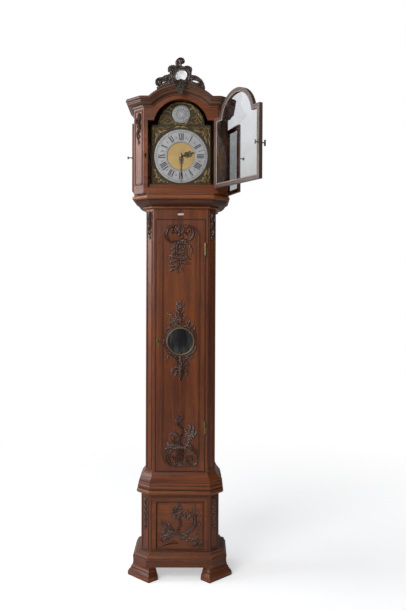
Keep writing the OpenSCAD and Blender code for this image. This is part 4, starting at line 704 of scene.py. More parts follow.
# The door's head: two scrolls above, a stem between them with leaves along it, and buds.
top = ground(-90, 82, 1442, 1680, 0.8)
carve(top, "scroll", [
    (16, 1609, 41, 1613, 55, 1635, 53, 1663, 36, 1679, 20, 1667, 20, 1647, 32, 1635,
     4, 7, 8, 8, 7, 6, 5, 4, 6, 9, 11, 11, 11, 10, 9, 8),
    (-22, 1606, -47, 1602, -65, 1616, -71, 1644, -58, 1668, -34, 1676, -18, 1663, -24, 1645, -41, 1645,
     3, 6, 8, 8, 7, 7, 6, 5, 4, 6, 9, 11, 11, 10, 10, 9, 8, 7),
    (0, 1612, -16, 1595, -23, 1571, -21, 1542, -14, 1514, -14, 1490, -21, 1471,
     5, 7, 8, 7, 6, 6, 4, 8, 11, 11, 11, 10, 10, 8)])
carve(top, "leaf", [
    (-6, 1647, -10, 1666, -10, 1686, 5, 11, 2, 8, 11, 4, 5), (3, 1640, 12, 1659, 20, 1683, 5, 9, 2, 8, 11, 4, 5),
    (-13, 1651, -21, 1667, -27, 1682, 4, 8, 2, 7, 9, 4, 4),
    (-17, 1592, 6, 1600, 27, 1595, 39, 1578, 5, 11, 10, 2, 8, 11, 9, 4, 6),
    (-20, 1571, 4, 1576, 22, 1567, 33, 1552, 5, 11, 9, 2, 8, 11, 9, 4, 6),
    (-19, 1547, 5, 1549, 24, 1538, 30, 1521, 5, 11, 9, 2, 8, 11, 9, 4, 6),
    (-15, 1524, 6, 1520, 28, 1526, 49, 1517, 5, 10, 9, 2, 8, 10, 9, 4, 7),
    (-14, 1505, 7, 1503, 27, 1501, 45, 1495, 4, 8, 7, 2, 8, 10, 8, 4, 6),
    (-17, 1486, 2, 1479, 11, 1459, 4, 8, 2, 8, 9, 4, 5),
    (28, 1592, 44, 1579, 52, 1560, 47, 1538, 4, 8, 7, 2, 6, 8, 7, 3, 6),
    (-20, 1578, -36, 1577, -47, 1564, 4, 8, 2, 8, 9, 4, 5), (-21, 1557, -37, 1549, -43, 1533, 4, 8, 2, 8, 9, 4, 5),
    (-17, 1531, -36, 1530, -53, 1536, 4, 8, 2, 8, 10, 4, 5), (-15, 1512, -36, 1511, -60, 1500, 4, 9, 2, 8, 9, 4, 6),
    (-15, 1493, -38, 1488, -58, 1488, 4, 8, 2, 8, 9, 4, 6), (-20, 1478, -39, 1471, -52, 1457, 4, 8, 2, 7, 9, 4, 5),
    (-21, 1474, -17, 1462, -6, 1451, 4, 7, 2, 7, 8, 4, 4)])
knobs(top, [
    (35, 1650, 7, 11), (-39, 1658, 6, 10), (8, 1624, 7, 11), (-8, 1635, 9, 11), (-19, 1485, 6, 11), (2, 1584, 5, 11),
    (9, 1539, 5, 11), (-12, 1526, 5, 11), (-52, 1525, 4, 9)])
relief("door_head_carving", top, (0, door_y, 0), oak_carved, "trunk_door", "oak")

# The door's middle: four lengths of rim round the lenticle, sprays of leaves above and below, and buds.
mid = ground(-90, 84, 934, 1342, 0.8)
around, bezel_r = 1128, 68.4
for a0, a1 in ((96, 176), (4, 84), (184, 264), (276, 356)):
    stroke(mid, bow(0, around, 75, 75, a0, a1, 9), [3, 6, 7, 7, 6, 3], [6, 10, 10, 6])
carve(mid, "leaf", [
    (-9, 1196, -28, 1225, -45, 1250, -67, 1263, 6, 11, 9, 2, 8, 11, 9, 4, 7),
    (-19, 1191, -43, 1217, -64, 1218, 5, 10, 2, 8, 10, 4, 6), (-30, 1184, -51, 1196, -67, 1184, 4, 8, 2, 8, 9, 4, 5),
    (12, 1194, 34, 1209, 47, 1231, 5, 10, 2, 8, 11, 4, 6), (29, 1187, 50, 1199, 66, 1223, 5, 10, 2, 8, 10, 4, 6),
    (41, 1173, 62, 1179, 72, 1199, 4, 8, 2, 8, 9, 4, 5), (-4, 1220, -20, 1239, -24, 1260, 5, 9, 2, 8, 10, 4, 5),
    (1, 1220, 15, 1236, 17, 1258, 5, 9, 2, 8, 10, 4, 5), (-2, 1253, -17, 1270, -20, 1288, 4, 8, 2, 8, 9, 4, 5),
    (1, 1258, 13, 1273, 14, 1291, 4, 8, 2, 8, 9, 4, 5), (-1, 1286, -15, 1301, -20, 1318, 4, 7, 2, 7, 9, 4, 4),
    (0, 1286, 12, 1300, 14, 1315, 4, 7, 2, 7, 9, 4, 4), (0, 1286, -1, 1310, 0, 1327, 4, 8, 1, 8, 9, 4, 5),
    (0, 1053, 0, 1020, -1, 987, -1, 958, 7, 10, 7, 3, 9, 10, 8, 4, 8),
    (-15, 1008, -33, 996, -43, 965, 4, 9, 2, 8, 10, 4, 6), (-18, 991, -21, 972, -30, 953, 3, 7, 2, 7, 9, 4, 4),
    (15, 1013, 32, 1020, 46, 1004, 4, 9, 2, 8, 9, 4, 5), (15, 992, 30, 980, 26, 956, 4, 8, 2, 7, 9, 4, 5),
    (32, 1046, 53, 1055, 58, 1078, 4, 9, 2, 8, 10, 4, 6), (-38, 1050, -56, 1058, -64, 1032, 4, 8, 2, 8, 9, 4, 5),
    (-41, 1068, -61, 1080, -68, 1103, 4, 8, 2, 8, 9, 4, 6), (49, 1076, 68, 1087, 74, 1111, 4, 8, 2, 8, 9, 4, 6),
    (-71, 1144, -81, 1124, -72, 1102, 3, 5, 2, 6, 8, 4, 4)])
carve(mid, "scroll", [
    (1, 1194, -7, 1220, 2, 1246, -6, 1270, 1, 1296, 8, 8, 6, 6, 4, 10, 11, 11, 10, 8),
    (-32, 1060, -15, 1041, -11, 1015, -26, 993, 4, 6, 5, 3, 8, 10, 10, 7),
    (34, 1055, 16, 1034, 10, 1011, 12, 984, 5, 956, 4, 6, 6, 5, 3, 8, 10, 10, 10, 7)])
knobs(mid, [(-26, 1197, 6, 11), (-3, 1199, 7, 11), (13, 1215, 6, 11), (-6, 1265, 5, 11), (-1, 947, 7, 11)])
under_bezel = np.hypot(mid["X"], mid["Z"] - around) < bezel_r
mid["edge"], mid["high"] = np.where(under_bezel, -9, mid["edge"]), np.where(under_bezel, 0, mid["high"])
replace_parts(relief("door_middle_carving", mid, (0, door_y, 0), oak_carved, "trunk_door", "oak"), "door_carving")

# The door's foot: a stem among tall leaves, two scrolls and a shell under it, and buds.
low = ground(-90, 84, 528, 794, 0.8)
carve(low, "scroll", [
    (7, 767, 0, 750, -11, 738, -3, 723, 9, 710, 12, 691, 5, 6, 5, 6, 6, 6, 8, 11, 11, 10, 10, 9),
    (14, 698, 5, 677, -5, 658, -7, 634, 4, 6, 7, 7, 8, 11, 11, 10),
    (-9, 636, -26, 641, -35, 655, -29, 667, 4, 6, 5, 3, 8, 10, 10, 7),
    (-22, 608, -44, 606, -58, 589, -60, 565, -48, 545, -29, 540, -17, 555, -22, 574, -37, 577,
     4, 7, 8, 8, 8, 7, 6, 5, 4, 7, 10, 11, 11, 11, 11, 10, 9, 8),
    (29, 602, 51, 612, 74, 603, 87, 581, 84, 557, 65, 541, 42, 544, 32, 562, 41, 579, 57, 576,
     4, 7, 8, 9, 9, 8, 7, 6, 5, 4, 7, 10, 11, 11, 11, 11, 10, 10, 9, 8)])
carve(low, "leaf", [
    (2, 755, 14, 765, 21, 751, 3, 7, 2, 7, 9, 4, 4), (-5, 734, -19, 746, -17, 763, 3, 6, 2, 7, 8, 4, 4),
    (22, 619, 37, 653, 33, 686, 17, 710, 6, 14, 12, 3, 8, 11, 10, 4, 9),
    (26, 672, 41, 701, 46, 723, 38, 736, 5, 9, 7, 2, 8, 11, 8, 4, 6),
    (31, 664, 52, 686, 62, 710, 59, 731, 5, 11, 9, 2, 8, 10, 9, 4, 7),
    (38, 658, 57, 669, 74, 691, 81, 708, 4, 9, 8, 2, 8, 9, 8, 4, 6),
    (-7, 648, -16, 677, -36, 689, -52, 676, 5, 10, 9, 2, 8, 11, 9, 4, 7),
    (-12, 629, -33, 635, -54, 632, -62, 646, 5, 9, 8, 2, 8, 10, 9, 4, 7),
    (-19, 616, -43, 624, -64, 617, -74, 597, 5, 8, 7, 2, 8, 10, 9, 4, 7),
    (-35, 612, 0, 622, 40, 612, 3, 7, 3, 9, 11, 9, 9), (31, 626, 48, 629, 65, 620, 3, 7, 2, 7, 10, 4, 4),
    (-17, 550, -2, 535, 19, 540, 3, 5, 2, 6, 8, 4, 4)])
carve(low, "shell", [(2, 629, 1, 600, 0, 571, 2, 541, 11, 18, 17, 9, 9, 11, 10, 6, 9)])
knobs(low, [
    (-8, 769, 6, 11), (-31, 660, 5, 11), (-35, 565, 7, 11), (54, 565, 7, 11), (17, 593, 5, 11), (-6, 576, 4, 11)])
relief("door_foot_carving", low, (0, door_y, 0), oak_carved, "trunk_door", "oak")

# The plinth's panel: a long scroll and stems with leaves all along them, and a wave at the foot.
pan = ground(-105, 112, 144, 364, 0.8)
carve(pan, "scroll", [
    (-12, 211, 11, 213, 38, 224, 58, 241, 69, 268, 69, 296, 63, 315, 3, 4.5, 7, 9, 10, 9, 5, 6, 9, 11, 11, 11, 11, 8),
    (-2, 287, 3, 257, -5, 233, -14, 219, -29, 206, 6, 6, 5, 6, 4, 9, 9, 9, 11, 8),
    (65, 150, 75, 164, 86, 151, 98, 164, 112, 173, 3, 6, 5, 6, 2, 6, 9, 9, 11, 5)])
carve(pan, "leaf", [
    (61, 300, 68, 317, 83, 323, 5, 9, 2, 8, 11, 4, 5), (63, 311, 65, 330, 73, 348, 4, 8, 2, 8, 9, 4, 5),
    (80, 284, 90, 300, 89, 318, 3, 6, 1.5, 6, 8, 3, 4), (77, 243, 90, 257, 91, 276, 3, 6, 1.5, 6, 8, 3, 4),
    (19, 282, 37, 283, 54, 296, 4, 8, 2, 7, 9, 4, 5), (25, 305, 38, 315, 54, 308, 4, 8, 2, 7, 10, 4, 5),
    (35, 293, 47, 294, 57, 310, 3, 6, 2, 6, 8, 4, 4), (-5, 287, -26, 292, -38, 317, 5, 10, 2, 8, 11, 4, 6),
    (-13, 301, 3, 315, 21, 327, 5, 8, 2, 8, 11, 4, 6), (-15, 308, -21, 330, -11, 351, 5, 8, 2, 8, 10, 4, 5),
    (-5, 311, 4, 334, 7, 353, 5, 8, 2, 8, 10, 4, 5), (-9, 317, -7, 341, -4, 357, 4, 7, 2, 8, 10, 4, 5),
    (-19, 301, -33, 315, -32, 331, 4, 7, 2, 7, 9, 4, 4), (-8, 293, 4, 301, 17, 305, 4, 6, 2, 8, 10, 4, 4),
    (-31, 229, -48, 247, -52, 267, 4, 8, 2, 7, 10, 4, 5), (-43, 224, -63, 243, -74, 274, 5, 9, 2, 7, 10, 4, 6),
    (-53, 219, -75, 234, -87, 253, 4, 8, 2, 7, 9, 4, 5), (-55, 212, -77, 220, -93, 229, 4, 8, 2, 7, 10, 4, 5),
    (-71, 243, -85, 260, -87, 281, 3, 6, 2, 6, 8, 4, 4),
    (-14, 219, -40, 218, -60, 205, -85, 203, 6, 11, 8, 2, 9, 11, 9, 4, 8),
    (-13, 203, -41, 201, -63, 193, -78, 175, 5, 10, 10, 3, 8, 11, 11, 5, 8),
    (-83, 172, -95, 190, -88, 209, 3, 7, 2, 7, 9, 4, 5), (-55, 186, -63, 172, -52, 164, 3, 6, 2, 6, 8, 4, 4),
    (-12, 203, 9, 190, 31, 201, 51, 217, 4, 9, 9, 2, 7, 10, 9, 4, 8), (2, 203, 23, 208, 44, 205, 3, 6, 2, 7, 9, 4, 5),
    (48, 190, 66, 184, 82, 192, 90, 207, 4, 8, 8, 2, 7, 10, 10, 4, 6),
    (54, 177, 72, 166, 88, 177, 4, 8, 2, 7, 9, 4, 5), (80, 208, 90, 219, 89, 234, 3, 6, 2, 6, 9, 4, 4),
    (21, 179, 37, 176, 50, 187, 3, 6, 2, 6, 8, 4, 4)])
carve(pan, "wave", [(-84, 154, -60, 161, -36, 168, -10, 166, 3, 6, 6, 3, 6, 9, 9, 5)])
knobs(pan, [(24, 296, 7, 11)])
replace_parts(relief("plinth_scrolls", pan, (0, panel_y, 0), oak_carved, "case", "oak"), "plinth_carving")

# CANT DROPS
# A thin drop of husks and leaves hangs on each canted corner, at the head of the hood, of the
# trunk and of the plinth. Cut from thin oak and glued in a shallow panel.


def cant_face(plan, s):
    """The middle line of a canted corner's face, its way to the right and its way out: (s, -1) / sqrt 2."""
    half, cant, front = plan
    out = np.array([s, -1, 0]) / math.sqrt(2)
    return {"origin": (s * (half - cant / 2), front + cant / 2, 0.0), "right": np.cross([0, 0, 1.0], out), "out": out}


def husks(name, plan, z_top, z_low, body, wide, form):
    """Leaves and buds threaded down the middle of a canted corner, on both sides of the clock. Along the share k
    of the drop's length, each leaf starts on the middle line and curls to one side, and the next to the other;
    its points are given in shares of the half width and of the length."""
    for side, s in (("left", -1), ("right", 1)):
        field = ground(-wide - 3, wide + 3, z_low - 4, z_top + 6, 0.8)
        fit = (s * wide, z_low - z_top), (0, z_top)
        if form == "scroll":
            carve(field, "scroll", [
                (0.3, 0.06, -0.5, 0, -0.8, 0.12, -0.3, 0.26, 0.4, 0.3, 0.7, 0.18, 0.3, 0.1,
                 3, 4.5, 5, 5, 5, 4, 3, 6, 9, 10, 10, 10, 9, 6),
                (-0.2, 0.28, -0.8, 0.4, -0.3, 0.54, 0.5, 0.62, 0.3, 0.76, 0, 0.86,
                 4, 5, 5, 4.5, 3.5, 2, 8, 10, 10, 9, 8, 5)], *fit)
            carve(field, "leaf", [(0, 0.84, -0.15, 0.92, 0, 1.0, 2, 5, 1, 6, 9, 3, 4)] + [
                (x * 0.1, k - 0.04, x * 0.6, k, x, k + 0.07, 3, 6.5, 1, 7, 9, 3, 5)
                for x, k in ((0.8, 0.36), (-0.9, 0.5), (0.9, 0.66), (-0.6, 0.72))], *fit)
            knobs(field, [(0, 0.17, 4.5, 9)], *fit)
        else:
            for i in range(5):
                k = i / 5
                carve(field, "leaf", [(0, k + 0.01, x * 0.8, k + 0.05, x * 0.7, k + 0.14,
                                       2.5, 5.5 - 0.6 * i, 1, 7, 9, 3, 4) for x in (-0.8, 0.8)], *fit)
                knobs(field, [(0, k + 0.05, 5 - 0.5 * i, 10)], *fit)
            carve(field, "stem", [(0, 0, 0, 0.5, 0, 1.0, 2.4, 2, 1.4, 7, 6, 4)], *fit)
        relief(f"{name}_{side}", field, finish=oak_drop, body=body, slot="oak", **cant_face(plan, s))


oak_drop = oak("oak_drop", (0.060, 0.021, 0.012), (0.026, 0.009, 0.005), carved=True, figure=0.5, coat=0.7)
husks("hood_drop", HOOD, 2196, 2052, "hood", 13, "scroll")
husks("trunk_drop", TRUNK, 1738, 1612, "case", 11, "scroll")
husks("plinth_drop", PLINTH, 378, 222, "case", 11, "bell")

# FRAMES OF THE DOOR AND PANEL
# Narrow oak mouldings: an ovolo and bead planted round the door's field, a bead round the sunk
# plinth panel and in the hood's doors.


def planted(name, loop, profile, origin, finish, body, wear_and_painted_light=None, right=(1.0, 0, 0), out=(0, -1.0, 0)):
    """A moulding round a closed outline in a plane: a point (a, b) of the profile goes a inwards along each corner's
    mitre, and b outwards from the plane. The strength of wear and painted light tells how dark its grooves are painted
    as shade, and how pale its edges, as wear and painted highlight."""
    loop = np.asarray(loop, float)
    ahead, behind = np.roll(loop, -1, 0) - loop, loop - np.roll(loop, 1, 0)
    ahead /= np.linalg.norm(ahead, axis=1, keepdims=True)
    behind /= np.linalg.norm(behind, axis=1, keepdims=True)
    na, nb = np.stack([-ahead[:, 1], ahead[:, 0]], 1), np.stack([-behind[:, 1], behind[:, 0]], 1)
    inward = (na + nb) / (1 + np.sum(na * nb, 1, keepdims=True))
    u, v, w = np.asarray(right, float), np.array([0, 0, 1.0]), np.asarray(out, float)
    stations = np.asarray(origin, float) + loop[:, :1] * u + loop[:, 1:] * v
    way = inward[:, :1] * u + inward[:, 1:] * v
    points, faces, run = carried(stations, way, np.tile(w, (len(loop), 1)), profile, closed=True)
    marks = {} if wear_and_painted_light is None else {"hollow": np.tile(np.clip(hollows(profile) * wear_and_painted_light, -0.8, 1), len(loop))}
    piece(name, points, faces, finish, body, "oak", bend=30, run=run, **marks)


def round_box(half, z0, z1, r, n=14):
    """Outline of an upright box with round corners, run against the clock."""
    parts = [bow(x, z, r, r, a, a + 90, n) for x, z, a in (
        (half - r, z0 + r, -90), (half - r, z1 - r, 0), (-half + r, z1 - r, 90), (-half + r, z0 + r, 180))]
    return np.concatenate(parts)


field_profile = thicken(np.concatenate([
    [[-0.6, -0.6], [-0.6, 1.4]], bow(1.6, 1.4, 2.0, 2.2, 180, 40, 8), bow(4.6, 3.4, 1.6, 2.6, 170, 10, 10),
    bow(9.8, 4.2, 3.4, 3.4, 180, 262, 10), [[10.8, 0.6], [10.8, -0.6]]]), 0.8)
planted("door_field_moulding", round_box(92, 526, 1685, 65), field_profile, (0, door_y, 0), oak_run,
        "trunk_door", 2.0)

panel_profile = thicken(np.concatenate([
    [[-1.0, -7.0], [-1.0, 1.0]], bow(1.2, 1.0, 2.2, 2.2, 180, 20, 8), bow(6.4, 0.6, 2.8, 5.2, 180, 265, 9),
    [[7.4, -6.4], [7.4, -7.0]]]), 0.8)
box_loop = thicken(np.array([[114, 140], [114, 366], [-114, 366], [-114, 140]], float), 60)
planted("plinth_panel_moulding", box_loop, panel_profile, (0, PLINTH[2], 0), oak_run, "case", 1.0)


def bead_frame(name, half, z0, z1, body, wide=5.0, high=2.6, **face):
    """A half-round bead with a fine quirk inside it, mitred round an upright rectangle."""
    bead = thicken(np.concatenate([
        [[0, -0.6]], bow(wide / 2, 0.2, wide / 2, high, 180, 0, 12),
        [[wide + 0.4, 0.2], [wide + 2.2, 1.0], [wide + 3.4, 0.2], [wide + 3.4, -0.6]]]), 0.9)
    loop = thicken(np.array([[half, z0], [half, z1], [-half, z1], [-half, z0]], float), 80)
    planted(name, loop, bead, finish=oak_run, body=body, wear_and_painted_light=1.6, **face)


turned_out = math.radians(122)
pin, pane_y, pane_half, pane_foot, pane_side = np.array([169.5, -173.5]), -160.5, 159.5, 1859.5, 2151.5
arc_z, arc_r = 2134.3, 118.5
swing = np.array([[math.cos(turned_out), math.sin(turned_out)], [-math.sin(turned_out), math.cos(turned_out)]])
middle = np.append(pin + (np.array([0, pane_y]) - pin) @ swing, 0)
lean = math.degrees(math.asin((pane_side - arc_z) / arc_r))
pane_loop = thicken(np.concatenate([
    [[-pane_half, pane_foot], [pane_half, pane_foot], [pane_half, pane_side]],
    bow(0, arc_z, arc_r, arc_r, lean, 180 - lean, 40), [[-pane_half, pane_side]]]), 30)
pane_bead = thicken(np.concatenate([[[0.3, -2.3], [0.3, -0.8]], bow(2.6, -1.2, 1.9, 1.0, 170, 10, 9),
                                    [[4.9, -1.6], [4.9, -2.3]]]), 0.8)
# The glazing bead is painted pale pinkish grey: a painted highlight along it.
pane_oak_painted_highlight = oak("pane_bead", (0.40, 0.30, 0.24), (0.22, 0.16, 0.125), "run")
planted("hood_pane_bead", pane_loop, pane_bead, middle, pane_oak_painted_highlight, "hood_door", right=np.append(swing[0], 0),
        out=np.append(swing[1], 0))
bead_frame("plinth_edge_bead", 139, 131, 390, "case", 3.4, 1.8, origin=(0, PLINTH[2], 0))
margin = 6
for side, s in (("left", -1), ("right", 1)):
    for name, plan, z0, z1, body in (("plinth", PLINTH, 132, 388, "case"), ("trunk", TRUNK, 512, 1748, "case"),
                                     ("hood", HOOD, 1862, 2214, "hood")):
        bead_frame(f"{name}_cant_bead_{side}", plan[1] * 0.7071 - margin, z0, z1, body, **cant_face(plan, s))

# CREST
# A pierced rococo ornament stands on the cornice's arch: scrolls round a small round mirror, a
# knob on top and a leaf hanging over the front. Carved in the round from oak, nearly black.
oak_black = oak("oak_crest", (0.045, 0.021, 0.013), (0.016, 0.008, 0.005), carved=True, figure=0.6, coat=0.7)
apex, arch_gap, mirror_z, mirror_r = 2326.0, 0.4, 37, 28.0
crest_y, leaf_y = -182.5, -197.6
cr = ground(-128, 122, -42, 132, 0.9)
carve(cr, "scroll", [
    (-9, 60, -10, 85, -13, 106, -1, 115, 17, 15, 12, 9, 8, 9, 9, 9),
    (-12, 83, -17, 104, -9, 119, 6, 120, 13, 109, 5, 101, -2, 108,
     4, 5.5, 6, 6, 5.5, 4.5, 4, 9, 11.5, 12, 12, 12, 11, 10)])
carve(cr, "leaf", [
    (-15, 70, -34, 78, -49, 73, -55, 58, 8, 11, 11, 6, 9, 11, 11, 8, 7),
    (-23, 60, -40, 55, -46, 36, 6, 10, 8, 9, 10, 8, 5),
    (11, 71, 29, 75, 43, 68, 44, 50, 8, 11, 10, 6, 9, 11, 11, 8, 7),
    (24, 64, 39, 46, 38, 22, 40, 4, 8, 11, 12, 10, 9, 10, 10, 8, 8)])
knobs(cr, [(-1, 112, 18.5, 9.5), (3, 111, 5, 12)])
a = np.linspace(0, 2 * math.pi, 33)
stroke(cr, np.stack([36.5 * np.cos(a), mirror_z + 36.5 * np.sin(a)], 1), [8.5, 8.5], [11, 11])
carve(cr, "leaf", [
    (-31, 31, -54, 29, -74, 22, -93, 14, 14, 15, 13, 11, 9, 10, 10, 9, 7),
    (-53, 34, -73, 30, -86, 23, 5, 8, 3, 10, 11, 8, 5),
    (-40, 9, -60, 2, -82, -7, -108, -20, 14, 11, 8, 5, 9, 9, 8, 7, 7),
    (27, 25, 48, 27, 66, 26, 82, 19, 14, 13, 12, 10, 9, 10, 11, 9, 7),
    (73, 26, 88, 14, 98, -1, 107, -20, 8, 10, 10, 7, 9, 11, 11, 9, 6),
    (31, 8, 53, 0, 76, -7, 96, -21, 14, 11, 9, 6, 9, 9, 9, 7, 7)])
carve(cr, "scroll", [
    (-71, 17, -93, 22, -109, 14, -112, 1, -102, -7, -94, 1, -100, 8,
     4, 5.5, 6, 6, 5, 4, 3.5, 9, 12, 12, 12, 11, 10, 9), (-43, 27, -45, 8, -57, -6, 10, 10, 9, 8, 9, 8),
    (87, 21, 95, 6, 88, -6, 79, 1, 3, 4.5, 4.5, 3, 10, 12, 12, 10), (40, 27, 45, 7, 40, -6, 9, 9, 8, 8, 9, 8),
    (-48, -2, 0, 2, 48, -2, 10, 12, 10, 8, 9, 8)])
knobs(cr, [(-100, 7, 15.5, 9.5)])
knobs(cr, [(x, z, r, 12.5) for x, z, r in (
    (-22, 72, 4.5), (22, 72, 4.5), (-44, 52, 4), (44, 50, 4), (-62, 24, 4.5), (58, 25, 4.5), (-92, 6, 5))])
arch_dist = np.hypot(cr["X"], cr["Z"] + arch_r) - arch_r - arch_gap
hole = np.hypot(cr["X"], cr["Z"] - mirror_z) - mirror_r
cr["edge"] = np.minimum(np.minimum(cr["edge"], arch_dist), hole)
cr["high"] = np.where(hole < 0, 3, cr["high"])
# Above knee the ornament is pressed a little flatter, so that its knob ends at the clock's full height.
knee, pressed = 66, 0.842
cr["Z"] = apex + np.where(cr["Z"] > knee, knee + pressed * (cr["Z"] - knee), cr["Z"])
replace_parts(relief("crest_scrolls", cr, (0, crest_y, 0), oak_black, "hood", "dark_oak", free=True,
                   behind=np.clip(blurred(cr["high"], 3), 3, 10.5)), "crest")
leaf = ground(-34, 34, 2266, 2342, 0.8)
carve(leaf, "shell", [(0, 2328, 0, 2316, 1, 2299, 2, 2273, 15, 19, 15, 2, 6, 7.5, 7, 4, 7)])
for s in (-1, 1):
    carve(leaf, "scroll", [
        (12, 2334, 21, 2330, 25, 2320, 19, 2308, 13, 2313, 4, 5, 5, 4.5, 3, 7, 8.5, 8.5, 8, 7)], (s, 1))
    carve(leaf, "leaf", [
        (6, 2312, 15, 2302, 13, 2288, 4, 7, 2, 7, 8, 4, 4),
        (3, 2298, 9, 2288, 7, 2277, 3, 5, 1.5, 7, 8, 4, 4)], (s, 1))
    knobs(leaf, [(17, 2318, 4, 9)], (s, 1))
knobs(leaf, [(0, 2324, 6, 9.5)])
oak_leaf = oak("oak_leaf", (0.034, 0.021, 0.010), (0.010, 0.006, 0.003), carved=True, figure=0.6, coat=0.15)
relief("crest_leaf", leaf, (0, leaf_y, 0), oak_leaf, "hood", "dark_oak", sunk=0, back=3, free=True)

# METALS AND GLASS
# Lacquered brass gone brown in its corners, silvered and blued parts, and old blown glass.
tree, given, result = group("old_metal", [
    ("Place", "Vector", None), ("Bright", "Color", (0.6, 0.45, 0.2, 1)), ("Dull", "Color", (0.2, 0.14, 0.06, 1)),
    ("Size", "Float", 40.0), ("Hollow", "Float", 0.0)],
    [("Color", "Color"), ("Roughness", "Float"), ("Height", "Float")])
patch = ranged(tree, noise(tree, given["Place"], given["Size"], 6.0, Roughness=0.7), 0.4, 0.72, 0.0, 0.75)
deep = figured(tree, "MAXIMUM", patch, given["Hollow"], clamp=True)
feed(tree, result, {"Color": mixed(tree, deep, given["Bright"], given["Dull"]),
                    "Roughness": ranged(tree, deep, 0.0, 1.0, 0.26, 0.6),
                    "Height": noise(tree, given["Place"], 700.0, 2.0)})


def metal(name, bright, dull, size=40.0, shine=1.0, carved=False):
    """Old metal: bright where it is rubbed, dull in patches and in its hollows."""
    finish, tree, skin, where = new_finish(name)
    coat = place_node(tree, "Group", {"Place": where["Object"], "Bright": (*bright, 1), "Dull": (*dull, 1),
                                      "Size": size}, node_tree=bpy.data.node_groups["old_metal"])
    if carved:
        feed(tree, coat.inputs, {"Hollow": own_mark(tree, "hollow", "Fac")})
    feed(tree, skin, {"Metallic": shine, "Base Color": coat.outputs["Color"], "Roughness": coat.outputs["Roughness"],
                      "Normal": bumped(tree, coat.outputs["Height"], 0.15, 0.0002)})
    return finish


brass = metal("old_brass", (0.36, 0.26, 0.11), (0.09, 0.062, 0.028))
browned = metal("brown_bronze", (0.12, 0.085, 0.045), (0.035, 0.025, 0.016), size=60, shine=0.8)
olive_brass = metal("olive_brass", (0.22, 0.155, 0.065), (0.075, 0.050, 0.022), size=70, shine=0.85)
steel = metal("grey_steel", (0.32, 0.32, 0.33), (0.12, 0.10, 0.09), size=60)
blued = metal("blued_steel", (0.060, 0.048, 0.044), (0.040, 0.026, 0.020), size=90, shine=0.6)
silver = metal("silvered_brass", (0.43, 0.435, 0.45), (0.22, 0.21, 0.195), size=26, shine=0.35)
wear("movement_frame suspension_cock centre_wheel hour_wheel minute_wheel going_great_wheel strike_great_wheel "
     "third_wheel escape_wheel pendulum_bob drive_weight chain_ring", brass)
wear("trunk_hinges trunk_door_knuckles hood_hinges trunk_lock key", olive_brass)
wear("hood_door_latch left_door_knob right_door_knob", browned)
wear("anchor hammer pendulum_rod", steel)
wear("bell", metal("bell_metal", (0.5, 0.42, 0.28), (0.24, 0.19, 0.12), size=30))
wear("crest_mirror", metal("old_mirror", (0.93, 0.94, 0.96), (0.75, 0.75, 0.78), size=25))


def glass(name, high, low, top, foot):
    """Clear old glass, faintly wavy, greyer towards its foot."""
    finish, tree, skin, where = new_finish(name)
    haze = noise(tree, where["Object"], 14.0, 5.0)
    level = ranged(tree, axis_of(tree, where["Object"], "Z"), foot, top, 0.0, 1.0)
    share = figured(tree, "ADD", level, ranged(tree, haze, 0.3, 0.7, -0.15, 0.15), clamp=True)
    feed(tree, skin, {"Transmission Weight": 1.0, "IOR": 1.45,
                      "Base Color": mixed(tree, share, (*low, 1), (*high, 1)),
                      "Roughness": ranged(tree, haze, 0.0, 1.0, 0.01, 0.05),
                      "Normal": bumped(tree, noise(tree, where["Object"], 9.0, 1.0), 0.2, 0.002)})
    return finish


wear("hood_door_glass", glass("front_pane", (0.74, 0.76, 0.80), (0.50, 0.50, 0.495), 2.22, 1.85))
wear("left_door_glass right_door_glass", glass("side_pane", (0.62, 0.64, 0.64), (0.50, 0.52, 0.52), 2.16, 1.85))

# CHAINS
# The endless chain of brass wire links runs over both great wheels' sprockets: one bight carries the
# weight's pulley, and the slack one hangs in a loop with the small ring.
great_x, sprocket_r, great_z = 30.0, 16.0, 1955.83


def links(name, strand_x, low, old):
    """Oval links up two strands, to the great wheels: a link's middle line is an ellipse, its wire a ring of points
    about that line, and every second link is turned a quarter."""
    wide, tall, wire, sides = 1.25, 3.2, 0.55, 8
    t, a = np.arange(sides)[:, None] * 2 * math.pi / sides, np.arange(4)[None, :, None] * math.pi / 2
    core = np.concatenate([wide * np.cos(t), 0 * t, tall * np.sin(t)], 1)
    away = np.concatenate([np.cos(t) / wide, 0 * t, np.sin(t) / tall], 1)
    away /= np.linalg.norm(away, axis=1, keepdims=True)
    link = core[:, None] + wire * (np.cos(a) * away[:, None] + np.sin(a) * np.array([0, 1.0, 0]))
    quarter = link @ np.array([[0, 1.0, 0], [-1.0, 0, 0], [0, 0, 1.0]])
    reach, pitch = tall + wire, 2 * (tall - wire)
    count = int((great_z - low - 2 * reach) / pitch) + 1
    even = (np.arange(count) % 2 == 0)[:, None, None, None]
    heights = np.linspace(low + reach, great_z - reach, count)[:, None, None, None]
    strand = np.where(even, link, quarter) + heights * np.array([0, 0, 1.0])
    both = np.concatenate([strand + [side * strand_x, -50.0, 0] for side in (-1, 1)]).reshape(-1, 3)
    round_link = walls(sides, 4, closed_rows=True)
    faces = round_link[None] + 4 * sides * np.arange(2 * count)[:, None, None]
    chain = piece(name, both, [faces.reshape(-1, 4)], brass, None, "brass", bend=80)
    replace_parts(chain, old)
    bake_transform(chain)


links("weight_links", great_x - sprocket_r, 1546.0, "weight_chain")
links("slack_links", great_x + sprocket_r, 896.0, "ring_chain")

# LENTICLE
# A turned bezel of browned brass holds a thick dark bull's-eye of glass, domed towards the room.


